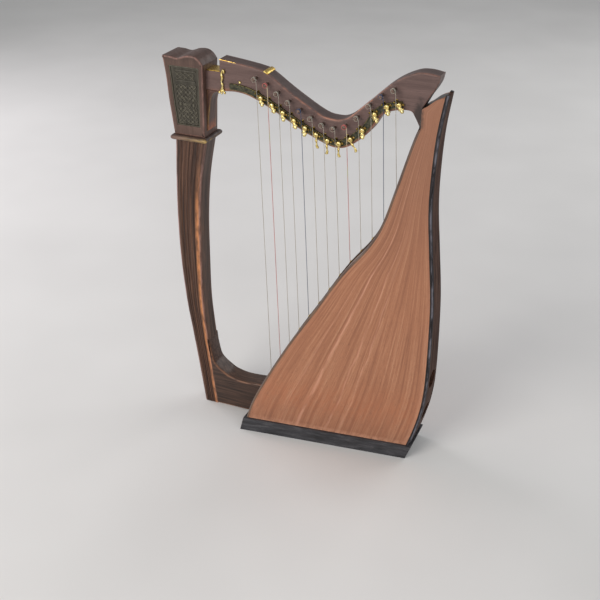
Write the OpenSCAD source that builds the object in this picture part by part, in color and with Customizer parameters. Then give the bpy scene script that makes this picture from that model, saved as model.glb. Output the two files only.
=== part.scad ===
// Celtic lap harp: carved pillar, curved neck and a hollow soundbox that widens towards its soundboard.
// X runs from the pillar to the back of the soundbox, Y across the thickness, Z up from the floor.
// The strings and levers are on the -Y side. The origin is the middle of the footprint, on the floor.

/* [Overall] */
// Height from the floor to the tip of the neck
harp_h = 634; // [550:1:765]
// Width from the pillar's head to the back of the soundbox
harp_w = 443; // [400:1:535]

/* [Pillar and neck] */
// Thickness of the neck
neck_t = 26; // [22:0.5:32]
// Thickness of the pillar
pillar_t = 34; // [28:0.5:42]
// Thickness of the knee between pillar and soundbox
knee_t = 34; // [28:0.5:42]
// Thickness of the carved head at its top
head_t = 50; // [44:0.5:60]
// Thickness of the carved head at its foot
head_foot_t = 44; // [40:0.5:50]
// Height of the collar under the head
collar_h = 8; // [6:0.5:12]
// How far the collar stands out past the head's foot
collar_lip = 6; // [3:0.5:8]
// Depth of the recess that holds a knotwork panel
panel_recess = 3; // [2:0.1:4]
// Thickness of a knotwork panel
panel_t = 2.4; // [1.5:0.1:3.5]

/* [Soundbox] */
// Width across the foot of the soundboard
box_w_front = 132; // [110:1:160]
// Width across the foot of the back
box_w_back = 64; // [54:1:78]
// Width across the top of the back
box_w_top = 27; // [24:0.5:34]
// Thickness of the side panels
side_t = 4; // [3:0.25:5]
// Thickness of the soundboard
board_t = 4; // [3:0.25:5]
// Thickness of the back panel and of the binding at its edges
back_t = 5; // [4:0.25:6]
// Thickness of the base board
base_t = 20; // [14:0.5:24]
// Height of the plinth
plinth_h = 24; // [18:0.5:32]
// Thickness of the plinth
plinth_t = 4; // [3:0.25:6]
// Radius of the access holes in the back
access_r = 15; // [10:0.5:18]

/* [String band] */
// Width of the outer string rib
rib_w = 12; // [9:0.5:16]
// Thickness of the outer string rib
rib_t = 2; // [1.5:0.1:3]
// Width of the inner string rib
inner_rib_w = 18; // [14:0.5:24]
// Thickness of the inner string rib
inner_rib_t = 5; // [4:0.25:7]
// Outer diameter of an eyelet's barrel
eyelet_d = 3.6; // [3.2:0.1:4.4]
// Inner diameter of an eyelet
eyelet_bore = 1.6; // [1.4:0.1:2]
// Diameter of a string
string_d = 0.9; // [0.6:0.1:1.1]
// How far the strings stand out from the neck's face
string_out = 10.5; // [9.5:0.1:12]

/* [Tuning pins and levers] */
// Diameter of a tuning pin
pin_d = 4.2; // [3.6:0.1:5]
// Radial running clearance of the turning parts
run_gap = 0.05; // [0.02:0.01:0.1]
// How far up from the bridge pins to the neck's upper edge the tuning pins sit
pin_share = 0.6; // [0.5:0.02:0.7]
// Length of a tuning pin's key end past the neck
key_len = 10; // [7:0.5:13]
// Diameter of a bridge pin
bridge_d = 2.6; // [2:0.1:3.2]
// Thickness of the lever rail
rail_t = 2; // [1.5:0.1:3]
// Width of the lever rail
rail_w = 9.5; // [8.5:0.25:11]
// Diameter of a lever's hub
hub_d = 8.4; // [7:0.1:9]
// Diameter of a lever's pivot
pivot_d = 2.6; // [2:0.1:3]
// Length of the short levers, from pivot to knob
lever_short = 9.5; // [8:0.25:11]
// Length of the long levers in the middle of the row
lever_long = 18; // [14:0.25:19]

/* [Hidden] */
$fn = 48;
string_n = 13;
first_long_lever = 5;
last_long_lever = 8;
red_strings = [1, 8];
blue_strings = [4, 11];
// Angle of each lever from hanging straight down; the full throw is 45 degrees
lever_rest = [20, 30, 12, 22, 0, 8, 0, 4, 32, 10, 26, 18, 35];

// The outlines are drawn for this height and width and are stretched to the chosen ones
drawn_h = 634;
drawn_w = 443;
grow_x = harp_w / drawn_w;
grow_z = harp_h / drawn_h;
// Drawn heights count from the lowest visible edge of the sides, which is this far above the floor
datum_z = 20;
curve_steps = 4;
far = 2 * (harp_h + harp_w);
// How far a cut runs on past the face it opens
past = 1;

// ---- curves ----
function level(z) = (z + datum_z) * grow_z;
function stretch(points) = [for (p = points) [p[0] * grow_x, level(p[1])]];
function between(a, b, t) = a + (b - a) * t;
function bend(a, b, c, d, t) =
    0.5 * (2 * b + (c - a) * t + (2 * a - 5 * b + 4 * c - d) * t * t + (3 * b - a - 3 * c + d) * t * t * t);
// A smooth curve through the points
function curve(p) = concat(
    [for (i = [0 : len(p) - 2]) for (k = [0 : curve_steps - 1])
        bend(p[max(i - 1, 0)], p[i], p[i + 1], p[min(i + 2, len(p) - 1)], k / curve_steps)],
    [p[len(p) - 1]]);
function backwards(p) = [for (i = [len(p) - 1 : -1 : 0]) p[i]];
function left_of(v) = [-v[1], v[0]] / norm(v);
// The line moved to the left of its own direction by d
function beside(p, d) = [for (i = [0 : len(p) - 1])
    p[i] + d * left_of(p[min(i + 1, len(p) - 1)] - p[max(i - 1, 0)])];
function strip(p, d1, d2) = concat(beside(p, d1), backwards(beside(p, d2)));
function slope(p, x) = (lookup(x + 1, p) - lookup(x - 1, p)) / 2;
// Height at x of a line that runs beside p at distance d
function rise(p, x, d) = lookup(x, p) + d * norm([1, slope(p, x)]);
function swapped(p) = [for (q = p) [q[1], q[0]]];

neck_top = curve(stretch([[-131, 598], [-95, 594], [-68, 590], [-53, 585], [-17, 561.5], [26, 537],
    [48, 531], [70, 535], [98, 559], [136, 594], [166, 611], [186, 614], [204, 611.5]]));
neck_nose = curve(stretch([[204, 611.5], [202, 601], [197, 591], [190, 580], [181.5, 564]]));
neck_low = curve(stretch([[-131, 549], [-106, 551], [-82, 547], [-50, 533], [-2, 508], [36, 492],
    [57, 488], [77, 494.5], [105, 519], [123, 546], [143, 556], [164, 558], [172, 549], [179, 536]]));
box_front = curve(stretch([[-85, -24], [-66, 43], [-13, 147], [32, 222], [76, 295], [112, 343], [134, 384],
    [152, 444], [171, 512], [179, 536]]));
box_top = curve(stretch([[181.5, 564], [190, 569.5], [196, 575], [204, 580.5], [218, 586]]));
box_back = curve(stretch([[189, -24], [205, 24], [217, 78], [221.25, 140], [220, 256], [213, 342], [207, 410],
    [206.5, 466], [210, 530], [218, 586]]));
pillar_left = curve(stretch([[-183.5, -20], [-186, 0], [-194, 61], [-202, 120], [-210, 177], [-216, 252],
    [-217.5, 325], [-215.5, 395], [-211.5, 467]]));
pillar_right = curve(stretch([[-157.5, -20], [-160, 0], [-167, 60], [-174, 127], [-178, 184], [-177.5, 260],
    [-175.5, 333], [-169, 403], [-157, 467]]));
knee_top = curve(stretch([[-176, 112], [-170.5, 100], [-164, 69], [-157, 58], [-145, 49], [-132, 42],
    [-106, 38], [-60, 42]]));
bracket_low = curve(stretch([[-131, 549], [-143, 545], [-149, 533], [-152.5, 510], [-155.8, 484]]));

// ---- head ----
head_z = level(467) + collar_h;
head_left = curve(stretch([[-208.5, 467], [-212, 500], [-215, 529], [-217.5, 567], [-221.5, 597]]));
head_right = curve(stretch([[-157.5, 467], [-155.5, 520], [-154.5, 560], [-153.5, 588]]));
head_crest = curve(stretch([[-221.5, 597], [-209, 597], [-196, 595.5], [-182, 600], [-169, 600.5],
    [-160, 596], [-153.5, 588]]));
panel_z = [level(490), level(584)];
panel_left_rim = 7;
panel_right_rim = 6;
panel_steps = 8;
crest_z = level(600);
function head_half(z) = between(head_foot_t, head_t, (z - head_z) / (crest_z - head_z)) / 2;
tongue_z = [level(553), level(575)];
tongue_top_z = level(579);
neck_end_x = -131 * grow_x;
tenon_x = [-167 * grow_x, -150 * grow_x];
tenon_t = neck_t - 10;
// The neck's tongue is drawn from inside the head, and cut off at the head's face
tongue_x = -160 * grow_x;
plate_rise = 1.2;

// ---- ornament at the neck's end ----
ornament_x = neck_end_x + 4;
ornament_z = [level(549), level(581)];
ornament_t = 3;
// Half its width at shares of its height: splayed feet, a waist, a swelling and a rounded top
ornament_half = [[-0.09, 0], [0.03, 5.5], [0.19, 2.4], [0.34, 1.4], [0.62, 2.4], [0.87, 2.8], [1, 0]];
stud_z = [level(554), level(574)];
stud_d = 2;
stud_depth = 6;

// ---- bar over the neck's peak ----
peak_x = -56 * grow_x;
peak_reach = 8;
peak_t = 1.4;

// ---- soundbox: half its width falls evenly along X and along Z ----
foot_front_x = lookup(0, swapped(box_front));
foot_back_x = lookup(0, swapped(box_back));
top_back = box_back[len(box_back) - 1];
lean_x = (box_w_front - box_w_back) / 2 / (foot_back_x - foot_front_x);
lean_0 = box_w_front / 2 + lean_x * foot_front_x;
lean_z = (lean_0 - lean_x * top_back[0] - box_w_top / 2) / top_back[1];
block_z = level(516);
rib_z = [level(48), level(500)];
access_z = [level(58), level(122)];
brace_z = [level(90), level(160), level(260), level(400)];
access_reach = 30;
brace_w = 10;
brace_t = 8;

// ---- knee and hidden dowels ----
knee_foot_x = [-165 * grow_x, -60 * grow_x];
dowel_d = 7;
knee_dowel_x = [-182 * grow_x, -140 * grow_x];
knee_dowel_z = base_t / 2 + 14;
foot_dowel_x = [-115 * grow_x, -45 * grow_x];
foot_dowel_z = base_t / 2;
neck_dowel_d = 5;
neck_dowel = [[166 * grow_x, level(573)], [202 * grow_x, level(547)]];
head_dowel_d = 12;
head_dowel_x = -184 * grow_x;
head_dowel_z = [level(440), level(505)];

// ---- string band ----
string_y = -(neck_t / 2 + string_out);
rail_low = 3.5;
rail_top = beside(neck_low, rail_low + rail_w);
rail_middle = beside(neck_low, rail_low + rail_w / 2 + 0.2);
bridge_gap = 0.3;
lever_dx = 3;
drum_d = pin_d + 1.6;
drum_w = 4;
pin_tip = 0.8;
// The key end: square over its outer part, with corners on the pin's own circle
key_round = 0.4;
key_w = pin_d * 0.7;
pin_dx = 4.5;
string_gap = 0.2;
neck_first_x = -66 * grow_x;
neck_last_x = 146 * grow_x;
board_first_x = -61 * grow_x;
board_last_x = 146 * grow_x;
rail_x = [-115 * grow_x, 156 * grow_x];
plate_t = 1;
plate_len = 14;
plate_w = 4.4;
screw_at = 5.6;
screw_d = 1.6;
screw_head_d = 2.8;
screw_head_t = 0.7;
screw_len = 8;
lever_gap = 0.3;
hub_t = 3;
arm_lift = 1;
arm_t = 1.8;
arm_w = 3.4;
knob_d = 3.4;
pivot_depth = 5;
pocket_gap = 0.2;
bridge_depth = 6;
bridge_reach = 1.5;
fit_gap = 0.03;

function neck_x(i) = between(neck_first_x, neck_last_x, i / (string_n - 1));
function board_x(i) = between(board_first_x, board_last_x, i / (string_n - 1));
function at_x(line, x, d) = [x, rise(line, x, d)];
function bridge_at(i) =
    at_x(rail_top, neck_x(i) - (bridge_d + string_d) / 2 - string_gap, bridge_d / 2 + bridge_gap);
function lever_at(i) = [neck_x(i) + lever_dx, lookup(neck_x(i) + lever_dx, rail_middle)];
function pin_at(i) =
    let (x = neck_x(i) - pin_dx)
    [x, between(bridge_at(i)[1], lookup(x, neck_top), pin_share)];
function lever_len(i) = i >= first_long_lever && i <= last_long_lever ? lever_long : lever_short;

// Where string i enters the soundboard: the point above the eyelet, and the way out of the board
eyelet_flange = 0.8;
eyelet_depth = 3;
flange_gap = 0.1;
flange_lip = 2.2;
mouth_gap = 0.4;
mouth_depth = rib_t + eyelet_flange + mouth_gap;
mouth_line = beside(box_front, mouth_depth);
function mouth(i) = [board_x(i), lookup(board_x(i), mouth_line)];
function outwards(i) = left_of([1, slope(mouth_line, board_x(i))]);
// Where a string bends into its eyelet
bend_above = 1.2;
bend_beside = 0.25;
bend_below = 0.5;
knot_d = 4.4;
knot_gap = 0.4;
knot_hole_d = eyelet_bore + 0.8;
knot_depth = mouth_depth + board_t + inner_rib_t + knot_d / 2 + knot_gap;
function up(p, y) = [p[0], y, p[1]];
function string_route(i) = [
    up([pin_at(i)[0] + drum_d / 2 + string_d / 2 + string_gap, pin_at(i)[1]], string_y),
    up([neck_x(i), bridge_at(i)[1]], string_y),
    up(mouth(i) + [0, bend_above], -bend_beside),
    up(mouth(i) - bend_below * outwards(i), 0),
    up(mouth(i) - knot_depth * outwards(i), 0)];

// ---- building blocks ----
// An outline in the XZ plane made solid from y1 to y2
module flat(y1, y2) {
    translate([0, y2, 0]) rotate([90, 0, 0]) linear_extrude(y2 - y1) children();
}

module across(t) {
    flat(-t / 2, t / 2) children();
}

// Everything between the heights z1 and z2
module layer(z1, z2) {
    translate([-far / 2, -far / 2, z1]) cube([far, far, z2 - z1]);
}

module half_space(d) {
    translate([0, d - lean_0, 0])
        rotate([0, acos(-lean_z / norm([lean_x, 1, lean_z])), atan2(1, -lean_x)])
            translate([-far / 2, -far / 2, 0]) cube([far, far, far]);
}

// Everything between the leaning sides of the soundbox, each moved inwards by d
module between_sides(d) {
    intersection() {
        half_space(d);
        mirror([0, 1, 0]) half_space(d);
    }
}

module rod(a, b, d) {
    v = b - a;
    translate(a) rotate([0, acos(v[2] / norm(v)), atan2(v[1], v[0])]) cylinder(d = d, h = norm(v));
}

// A round pin along Y at an XZ place
module pin_y(p, y1, y2, d) {
    translate([p[0], y2, p[1]]) rotate([90, 0, 0]) cylinder(d = d, h = y2 - y1);
}

// A thin round cord through a route's points
module cord(route, d) {
    sides = 8;
    n = len(route);
    rings = [for (i = [0 : n - 1])
        let (v = route[min(i + 1, n - 1)] - route[max(i - 1, 0)],
            w = v / norm(v),
            s = cross(w, [0, 1, 0]) / norm(cross(w, [0, 1, 0])),
            t = cross(w, s))
        for (k = [0 : sides - 1]) route[i] + d / 2 * (s * cos(360 * k / sides) + t * sin(360 * k / sides))];
    walls = [for (i = [0 : n - 2]) for (k = [0 : sides - 1])
        let (m = (k + 1) % sides)
        each [[i * sides + k, i * sides + m, (i + 1) * sides + m],
            [i * sides + k, (i + 1) * sides + m, (i + 1) * sides + k]]];
    last = (n - 1) * sides;
    caps = [for (k = [1 : sides - 2]) each [[0, k + 1, k], [last, last + k, last + k + 1]]];
    polyhedron(rings, concat(walls, caps));
}

// ---- pillar side ----
module pillar_outline() {
    polygon(concat(pillar_left, backwards(pillar_right)));
}

module pillar() {
    color("#66493c") difference() {
        across(pillar_t) pillar_outline();
        joint_rods(fit_gap);
    }
}

module collar_profile(x1, x2) {
    r = collar_h / 2;
    translate([x1 + r, 0]) square([x2 - x1 - 2 * r, collar_h]);
    for (x = [x1 + r, x2 - r]) translate([x, r]) circle(r);
}

module pillar_collar() {
    z = head_z - collar_h;
    half = head_foot_t / 2 + collar_lip;
    color("#7a645a") difference() {
        intersection() {
            across(far) translate([0, z])
                collar_profile(head_left[0][0] - collar_lip, head_right[0][0] + collar_lip);
            translate([-far / 2, 0, z]) rotate([90, 0, 90]) linear_extrude(far) collar_profile(-half, half);
        }
        joint_rods(fit_gap);
    }
}

// The space between the head's two faces, each moved inwards by d
module between_faces(d) {
    z2 = 2 * crest_z;
    low = head_half(0) - d;
    high = head_half(z2) - d;
    translate([-far / 2, 0, 0]) rotate([90, 0, 90]) linear_extrude(far)
        polygon([[-low, 0], [low, 0], [high, z2], [-high, z2]]);
}

module panel_outline() {
    polygon(concat(
        [for (k = [0 : panel_steps]) let (z = between(panel_z[0], panel_z[1], k / panel_steps))
            [lookup(z, swapped(head_left)) + panel_left_rim, z]],
        [for (k = [panel_steps : -1 : 0]) let (z = between(panel_z[0], panel_z[1], k / panel_steps))
            [lookup(z, swapped(head_right)) - panel_right_rim, z]]));
}

module head_outline() {
    polygon(concat(head_left, head_crest, backwards(head_right)));
}

module tenon() {
    across(tenon_t) translate([tenon_x[0], tongue_z[0]])
        square([tenon_x[1] - tenon_x[0], tongue_z[1] - tongue_z[0]]);
}

module pillar_head() {
    color("#6d5348") difference() {
        intersection() {
            across(far) head_outline();
            between_faces(0);
            layer(head_z, far);
        }
        difference() {
            across(far) panel_outline();
            between_faces(panel_recess);
        }
        tenon();
        joint_rods(fit_gap);
    }
}

module knot_panel(side) {
    color("#615b54") difference() {
        intersection() {
            flat(min(0, side * head_t), max(0, side * head_t)) panel_outline();
            between_faces(panel_recess - panel_t);
        }
        between_faces(panel_recess);
    }
}

module knee_block() {
    color("#57413a") difference() {
        across(knee_t) polygon(concat(knee_top, [[knee_foot_x[1], 0], [knee_foot_x[0], 0]]));
        across(far) pillar_outline();
        soundbox_space(plinth_t, plinth_h);
        soundbox_space(0, far);
        joint_rods(fit_gap);
    }
}

// Hidden dowels that hold the frame together
module joint_rods(gap) {
    for (y = [-knee_t / 4, knee_t / 4]) {
        rod([knee_dowel_x[0], y, knee_dowel_z], [knee_dowel_x[1], y, knee_dowel_z], dowel_d + 2 * gap);
        rod([foot_dowel_x[0], y, foot_dowel_z], [foot_dowel_x[1], y, foot_dowel_z], dowel_d + 2 * gap);
    }
    for (y = [-neck_t / 4, neck_t / 4])
        rod(up(neck_dowel[0], y), up(neck_dowel[1], y), neck_dowel_d + 2 * gap);
    rod([head_dowel_x, 0, head_dowel_z[0]], [head_dowel_x, 0, head_dowel_z[1]], head_dowel_d + 2 * gap);
}

module joint_dowels() {
    color("#b08d62") joint_rods(0);
}

// ---- neck ----
module neck_outline() {
    polygon(concat([[tongue_x, tongue_top_z], [neck_end_x, tongue_top_z]], neck_top, neck_nose,
        backwards(neck_low), [[tongue_x, neck_low[0][1]]]));
}

module neck() {
    color("#745e5a") difference() {
        union() {
            across(neck_t) difference() {
                neck_outline();
                head_outline();
            }
            tenon();
        }
        for (i = [0 : string_n - 1]) pin_y(pin_at(i), -neck_t, neck_t, pin_d + 2 * run_gap);
        lever_pivots(run_gap);
        bridge_pin_row(fit_gap);
        bracket_screw_row(fit_gap);
        ornament_studs(fit_gap);
        joint_rods(fit_gap);
    }
}

module neck_bracket() {
    foot_z = bracket_low[len(bracket_low) - 1][1];
    color("#6d4a3c") across(neck_t) difference() {
        polygon(concat(bracket_low, [[tongue_x, foot_z], [tongue_x, neck_low[0][1]]]));
        head_outline();
    }
}

module neck_saddle_plate() {
    color("#b8923e") across(neck_t) difference() {
        translate([tongue_x, tongue_top_z]) square([neck_end_x - tongue_x, plate_rise]);
        head_outline();
    }
}

// Studs that hold the ornament at the neck's end
module ornament_studs(gap) {
    y = -neck_t / 2;
    for (z = stud_z) pin_y([ornament_x, z], y - ornament_t / 2, y + stud_depth, stud_d + 2 * gap);
}

module neck_end_ornament() {
    y = -neck_t / 2;
    height = ornament_z[1] - ornament_z[0];
    right = [for (p = ornament_half) [ornament_x + p[1], ornament_z[0] + p[0] * height]];
    left = [for (p = ornament_half) if (p[1] > 0) [ornament_x - p[1], ornament_z[0] + p[0] * height]];
    color("#d9c46a") {
        flat(y - ornament_t, y) polygon(concat(right, backwards(left)));
        intersection() {
            ornament_studs(0);
            flat(y, 0) square([far, far], center = true);
        }
    }
}

module neck_peak_cap() {
    cap = [for (p = neck_top) if (abs(p[0] - peak_x) < peak_reach) p];
    color("#d9c46a") across(neck_t) polygon(strip(cap, 0, peak_t));
}

module lever_rail() {
    y = -neck_t / 2;
    line = [for (p = neck_low) if (p[0] > rail_x[0] && p[0] < rail_x[1]) p];
    color("#4b4f45") difference() {
        flat(y - rail_t, y) polygon(strip(line, rail_low, rail_low + rail_w));
        lever_pivots(run_gap);
        bracket_screw_row(fit_gap);
    }
}

// Moves its children to lever i and turns them along the rail
module along_rail(i) {
    translate([lever_at(i)[0], 0, lever_at(i)[1]])
        rotate([0, -atan(slope(neck_low, lever_at(i)[0])), 0]) children();
}

module bracket_screw_row(gap) {
    y = -neck_t / 2 - rail_t - plate_t;
    for (i = [0 : string_n - 1]) along_rail(i) for (x = [-screw_at, screw_at])
        pin_y([x, 0], y, y + screw_len, screw_d + 2 * gap);
}

module bracket_screws() {
    y = -neck_t / 2 - rail_t - plate_t;
    color("#c9b45e") {
        bracket_screw_row(0);
        for (i = [0 : string_n - 1]) along_rail(i) for (x = [-screw_at, screw_at])
            pin_y([x, 0], y - screw_head_t, y, screw_head_d);
    }
}

module lever_brackets() {
    y = -neck_t / 2 - rail_t;
    color("#c9b45e") difference() {
        for (i = [0 : string_n - 1]) along_rail(i) {
            pin_y([0, 0], y - plate_t, y, hub_d);
            translate([-plate_len / 2, y - plate_t, -plate_w / 2]) cube([plate_len, plate_t, plate_w]);
        }
        lever_pivots(run_gap);
        bracket_screw_row(fit_gap);
    }
}

module bridge_pin_row(gap) {
    for (i = [0 : string_n - 1])
        pin_y(bridge_at(i), string_y - bridge_reach, bridge_depth - neck_t / 2, bridge_d + 2 * gap);
}

module bridge_pins() {
    color("#d9c46a") bridge_pin_row(0);
}

module lever_pivots(gap) {
    for (i = [0 : string_n - 1]) lever_pivot(i, gap);
}

module lever_pivot(i, gap) {
    pin_y(lever_at(i), -neck_t / 2 - rail_t - plate_t - lever_gap - (gap > 0 ? 0 : hub_t),
        pivot_depth - neck_t / 2 + (gap > 0 ? pocket_gap : 0), pivot_d + 2 * gap);
}

module lever(i) {
    y = -neck_t / 2 - rail_t - plate_t - lever_gap;
    reach = lever_len(i);
    color("#e0cd74") {
        lever_pivot(i, 0);
        translate([lever_at(i)[0], 0, lever_at(i)[1]]) rotate([0, -lever_rest[i], 0]) {
            pin_y([0, 0], y - hub_t, y, hub_d);
            flat(y - arm_lift - arm_t, y - arm_lift)
                polygon([[-arm_w / 2, 0], [arm_w / 2, 0], [arm_w / 3, -reach], [-arm_w / 3, -reach]]);
            pin_y([0, -reach], y - arm_lift - arm_t, y - arm_lift, knob_d);
        }
    }
}

module tuning_pin(i) {
    p = pin_at(i);
    color("#bfa860") {
        pin_y(p, string_y - drum_w / 2 - pin_tip, neck_t / 2 + key_len * key_round, pin_d);
        pin_y(p, string_y - drum_w / 2, string_y + drum_w / 2, drum_d);
        translate([p[0] - key_w / 2, neck_t / 2, p[1] - key_w / 2]) cube([key_w, key_len, key_w]);
    }
}

// ---- soundbox ----
module box_outline(grow) {
    polygon(concat(beside(box_front, grow), box_top, backwards(beside(box_back, -grow))));
}

// The soundbox's outer shape, grown by d, up to height z
module soundbox_space(d, z) {
    intersection() {
        across(far) box_outline(d);
        between_sides(-d);
        layer(0, z);
    }
}

module front_strip(d1, d2) {
    across(far) polygon(strip(box_front, -d1, -d2));
}

module back_strip(d1, d2) {
    across(far) polygon(strip(box_back, d1, d2));
}

module side_panel(side) {
    color("#a4705a") intersection() {
        difference() {
            soundbox_space(0, far);
            between_sides(side_t);
            front_strip(-past, board_t);
            back_strip(-past, back_t);
            layer(-past, base_t);
        }
        flat(min(0, side * far), max(0, side * far)) square(far, center = true);
    }
}

module soundboard() {
    color("#8a7a6c") difference() {
        intersection() {
            soundbox_space(0, far);
            front_strip(0, board_t);
        }
        layer(-past, base_t);
        string_holes(eyelet_d + 2 * fit_gap);
    }
}

module back_panel() {
    color("#644a3e") difference() {
        intersection() {
            soundbox_space(0, far);
            back_strip(0, back_t);
            between_sides(side_t);
        }
        layer(-past, base_t);
        access_holes();
    }
}

module access_holes() {
    for (z = access_z)
        translate([foot_back_x - access_reach, 0, z]) rotate([0, 90, 0]) cylinder(r = access_r, h = far);
}

module edge_binding(side) {
    color("#2e2826") intersection() {
        difference() {
            soundbox_space(0, far);
            between_sides(side_t);
            layer(-past, base_t);
        }
        back_strip(0, back_t);
        flat(min(0, side * far), max(0, side * far)) square(far, center = true);
    }
}

module top_block() {
    color("#534b46") difference() {
        intersection() {
            soundbox_space(0, far);
            between_sides(side_t);
            layer(block_z, far);
        }
        front_strip(-past, board_t);
        back_strip(-past, back_t);
        joint_rods(fit_gap);
    }
}

module base_board() {
    color("#5a4438") difference() {
        soundbox_space(0, base_t);
        joint_rods(fit_gap);
    }
}

module base_plinth() {
    color("#34363a") difference() {
        soundbox_space(plinth_t, plinth_h);
        soundbox_space(0, far);
        joint_rods(fit_gap);
    }
}

module cross_braces() {
    color("#b58a63") for (z = brace_z) intersection() {
        back_strip(back_t, back_t + brace_t);
        between_sides(side_t);
        layer(z - brace_w / 2, z + brace_w / 2);
    }
}

// ---- string band ----
module string_holes(d) {
    for (i = [0 : string_n - 1])
        rod(up(mouth(i) + past * outwards(i), 0), up(mouth(i) - (knot_depth + past) * outwards(i), 0), d);
}

module outer_string_rib() {
    color("#4a3a34") difference() {
        intersection() {
            front_strip(-rib_t, 0);
            layer(rib_z[0], rib_z[1]);
            translate([-far / 2, -rib_w / 2, 0]) cube([far, rib_w, far]);
        }
        string_holes(eyelet_d + 2 * fit_gap);
    }
}

module inner_string_rib() {
    color("#b58a63") difference() {
        intersection() {
            front_strip(board_t, board_t + inner_rib_t);
            layer(rib_z[0], rib_z[1]);
            translate([-far / 2, -inner_rib_w / 2, 0]) cube([far, inner_rib_w, far]);
        }
        string_holes(knot_hole_d);
    }
}

module string_eyelets() {
    color("#d9c46a") difference() {
        for (i = [0 : string_n - 1]) {
            face = mouth(i) - mouth_gap * outwards(i);
            seat = mouth(i) - (mouth_gap + eyelet_flange - flange_gap) * outwards(i);
            foot = mouth(i) - (mouth_depth + eyelet_depth) * outwards(i);
            rod(up(foot, 0), up(face, 0), eyelet_d);
            rod(up(seat, 0), up(face, 0), eyelet_d + flange_lip);
        }
        string_holes(eyelet_bore);
    }
}

module string_knots() {
    color("#e8e2d0") for (i = [0 : string_n - 1])
        translate(up(mouth(i) - knot_depth * outwards(i), 0)) sphere(d = knot_d);
}

function is_in(i, list) = len(search(i, list)) > 0;

module strings_red() {
    color("#b5504c") for (i = red_strings) cord(string_route(i), string_d);
}

module strings_blue() {
    color("#30384c") for (i = blue_strings) cord(string_route(i), string_d);
}

module strings_nylon() {
    color("#d8d2c2") for (i = [0 : string_n - 1])
        if (!is_in(i, red_strings) && !is_in(i, blue_strings)) cord(string_route(i), string_d);
}

// ---- parts ----
function two_digits(i) = str(i < 9 ? "0" : "", i + 1);
function pin_name(i) = str("tuning_pin_", two_digits(i));
function lever_name(i) = str("lever_", two_digits(i));

pillar();
pillar_head();
knot_panel(-1);  // knot_panel_left
knot_panel(1);  // knot_panel_right
pillar_collar();
knee_block();
joint_dowels();
neck();
neck_bracket();
neck_saddle_plate();
neck_end_ornament();
neck_peak_cap();
lever_rail();
lever_brackets();
bracket_screws();
bridge_pins();
side_panel(-1);  // side_panel_left
side_panel(1);  // side_panel_right
soundboard();
back_panel();
edge_binding(-1);  // edge_binding_left
edge_binding(1);  // edge_binding_right
top_block();
base_board();
base_plinth();
cross_braces();
outer_string_rib();
inner_string_rib();
string_eyelets();
string_knots();
strings_nylon();
strings_red();
strings_blue();
for (i = [0 : string_n - 1]) {
    tuning_pin(i);
    lever(i);
}
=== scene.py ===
"""The celtic lap harp's looks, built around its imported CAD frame. Lengths in the tables are millimetres."""

import math

import bmesh
import bpy
from mathutils import Matrix, Vector
from mathutils.geometry import tessellate_polygon


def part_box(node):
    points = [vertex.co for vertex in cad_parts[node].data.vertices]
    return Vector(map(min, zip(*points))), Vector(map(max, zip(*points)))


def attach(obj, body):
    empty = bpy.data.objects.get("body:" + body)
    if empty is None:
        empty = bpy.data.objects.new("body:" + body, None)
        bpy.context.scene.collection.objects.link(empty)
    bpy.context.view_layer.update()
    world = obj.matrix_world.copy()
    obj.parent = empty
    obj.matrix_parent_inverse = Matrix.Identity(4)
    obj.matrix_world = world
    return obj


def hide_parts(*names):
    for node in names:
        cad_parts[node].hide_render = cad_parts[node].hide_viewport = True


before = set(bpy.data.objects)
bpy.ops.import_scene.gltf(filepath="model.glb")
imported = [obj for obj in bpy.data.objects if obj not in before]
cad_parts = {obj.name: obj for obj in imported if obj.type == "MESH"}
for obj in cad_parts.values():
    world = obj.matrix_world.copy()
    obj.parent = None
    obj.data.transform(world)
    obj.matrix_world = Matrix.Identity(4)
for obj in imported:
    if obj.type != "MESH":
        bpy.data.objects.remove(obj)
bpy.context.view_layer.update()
MM = 0.001
ROOT = "harp_frame"
# Heights here count from the lowest visible edge of the sides, which is this far above the floor.
RISE = 20


# ---------------------------------------------------------------- curves in the XZ plane
def bend(a, b, c, d, t):
    return 0.5 * (2 * b + (c - a) * t + (2 * a - 5 * b + 4 * c - d) * t * t + (3 * b - a - 3 * c + d) * t**3)


def curve(points, steps=8):
    """A smooth curve through the points."""
    p = [Vector(q) for q in points]
    last = len(p) - 1
    out = []
    for i in range(last):
        for k in range(steps):
            out.append(bend(p[max(i - 1, 0)], p[i], p[i + 1], p[min(i + 2, last)], k / steps))
    return out + [p[last]]


def left_of(v):
    return Vector((-v[1], v[0])).normalized()


def beside(path, d):
    """The path moved to the left of its own direction by d."""
    last = len(path) - 1
    return [path[i] + d * left_of(path[min(i + 1, last)] - path[max(i - 1, 0)]) for i in range(last + 1)]


def on(path, i, steps=8):
    """The point of a curve at control point number i, which may be a fraction."""
    k = min(max(i * steps, 0), len(path) - 1)
    n = min(int(k), len(path) - 2)
    return path[n].lerp(path[n + 1], k - n)


def look(path, value, axis=0):
    """The other coordinate of a path where its coordinate on axis has that value."""
    for a, b in zip(path, path[1:]):
        low, high = min(a[axis], b[axis]), max(a[axis], b[axis])
        if low <= value <= high and high > low:
            return a.lerp(b, (value - a[axis]) / (b[axis] - a[axis]))[1 - axis]
    end = path[0] if abs(value - path[0][axis]) < abs(value - path[-1][axis]) else path[-1]
    return end[1 - axis]


def resample(path, n):
    """n + 1 points spread evenly along the path."""
    total = [0.0]
    for a, b in zip(path, path[1:]):
        total.append(total[-1] + (b - a).length)
    out, k = [], 0
    for i in range(n + 1):
        want = total[-1] * i / n
        while k < len(path) - 2 and total[k + 1] < want:
            k += 1
        span = max(total[k + 1] - total[k], 1e-9)
        out.append(path[k].lerp(path[k + 1], min(1, (want - total[k]) / span)))
    return out


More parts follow.
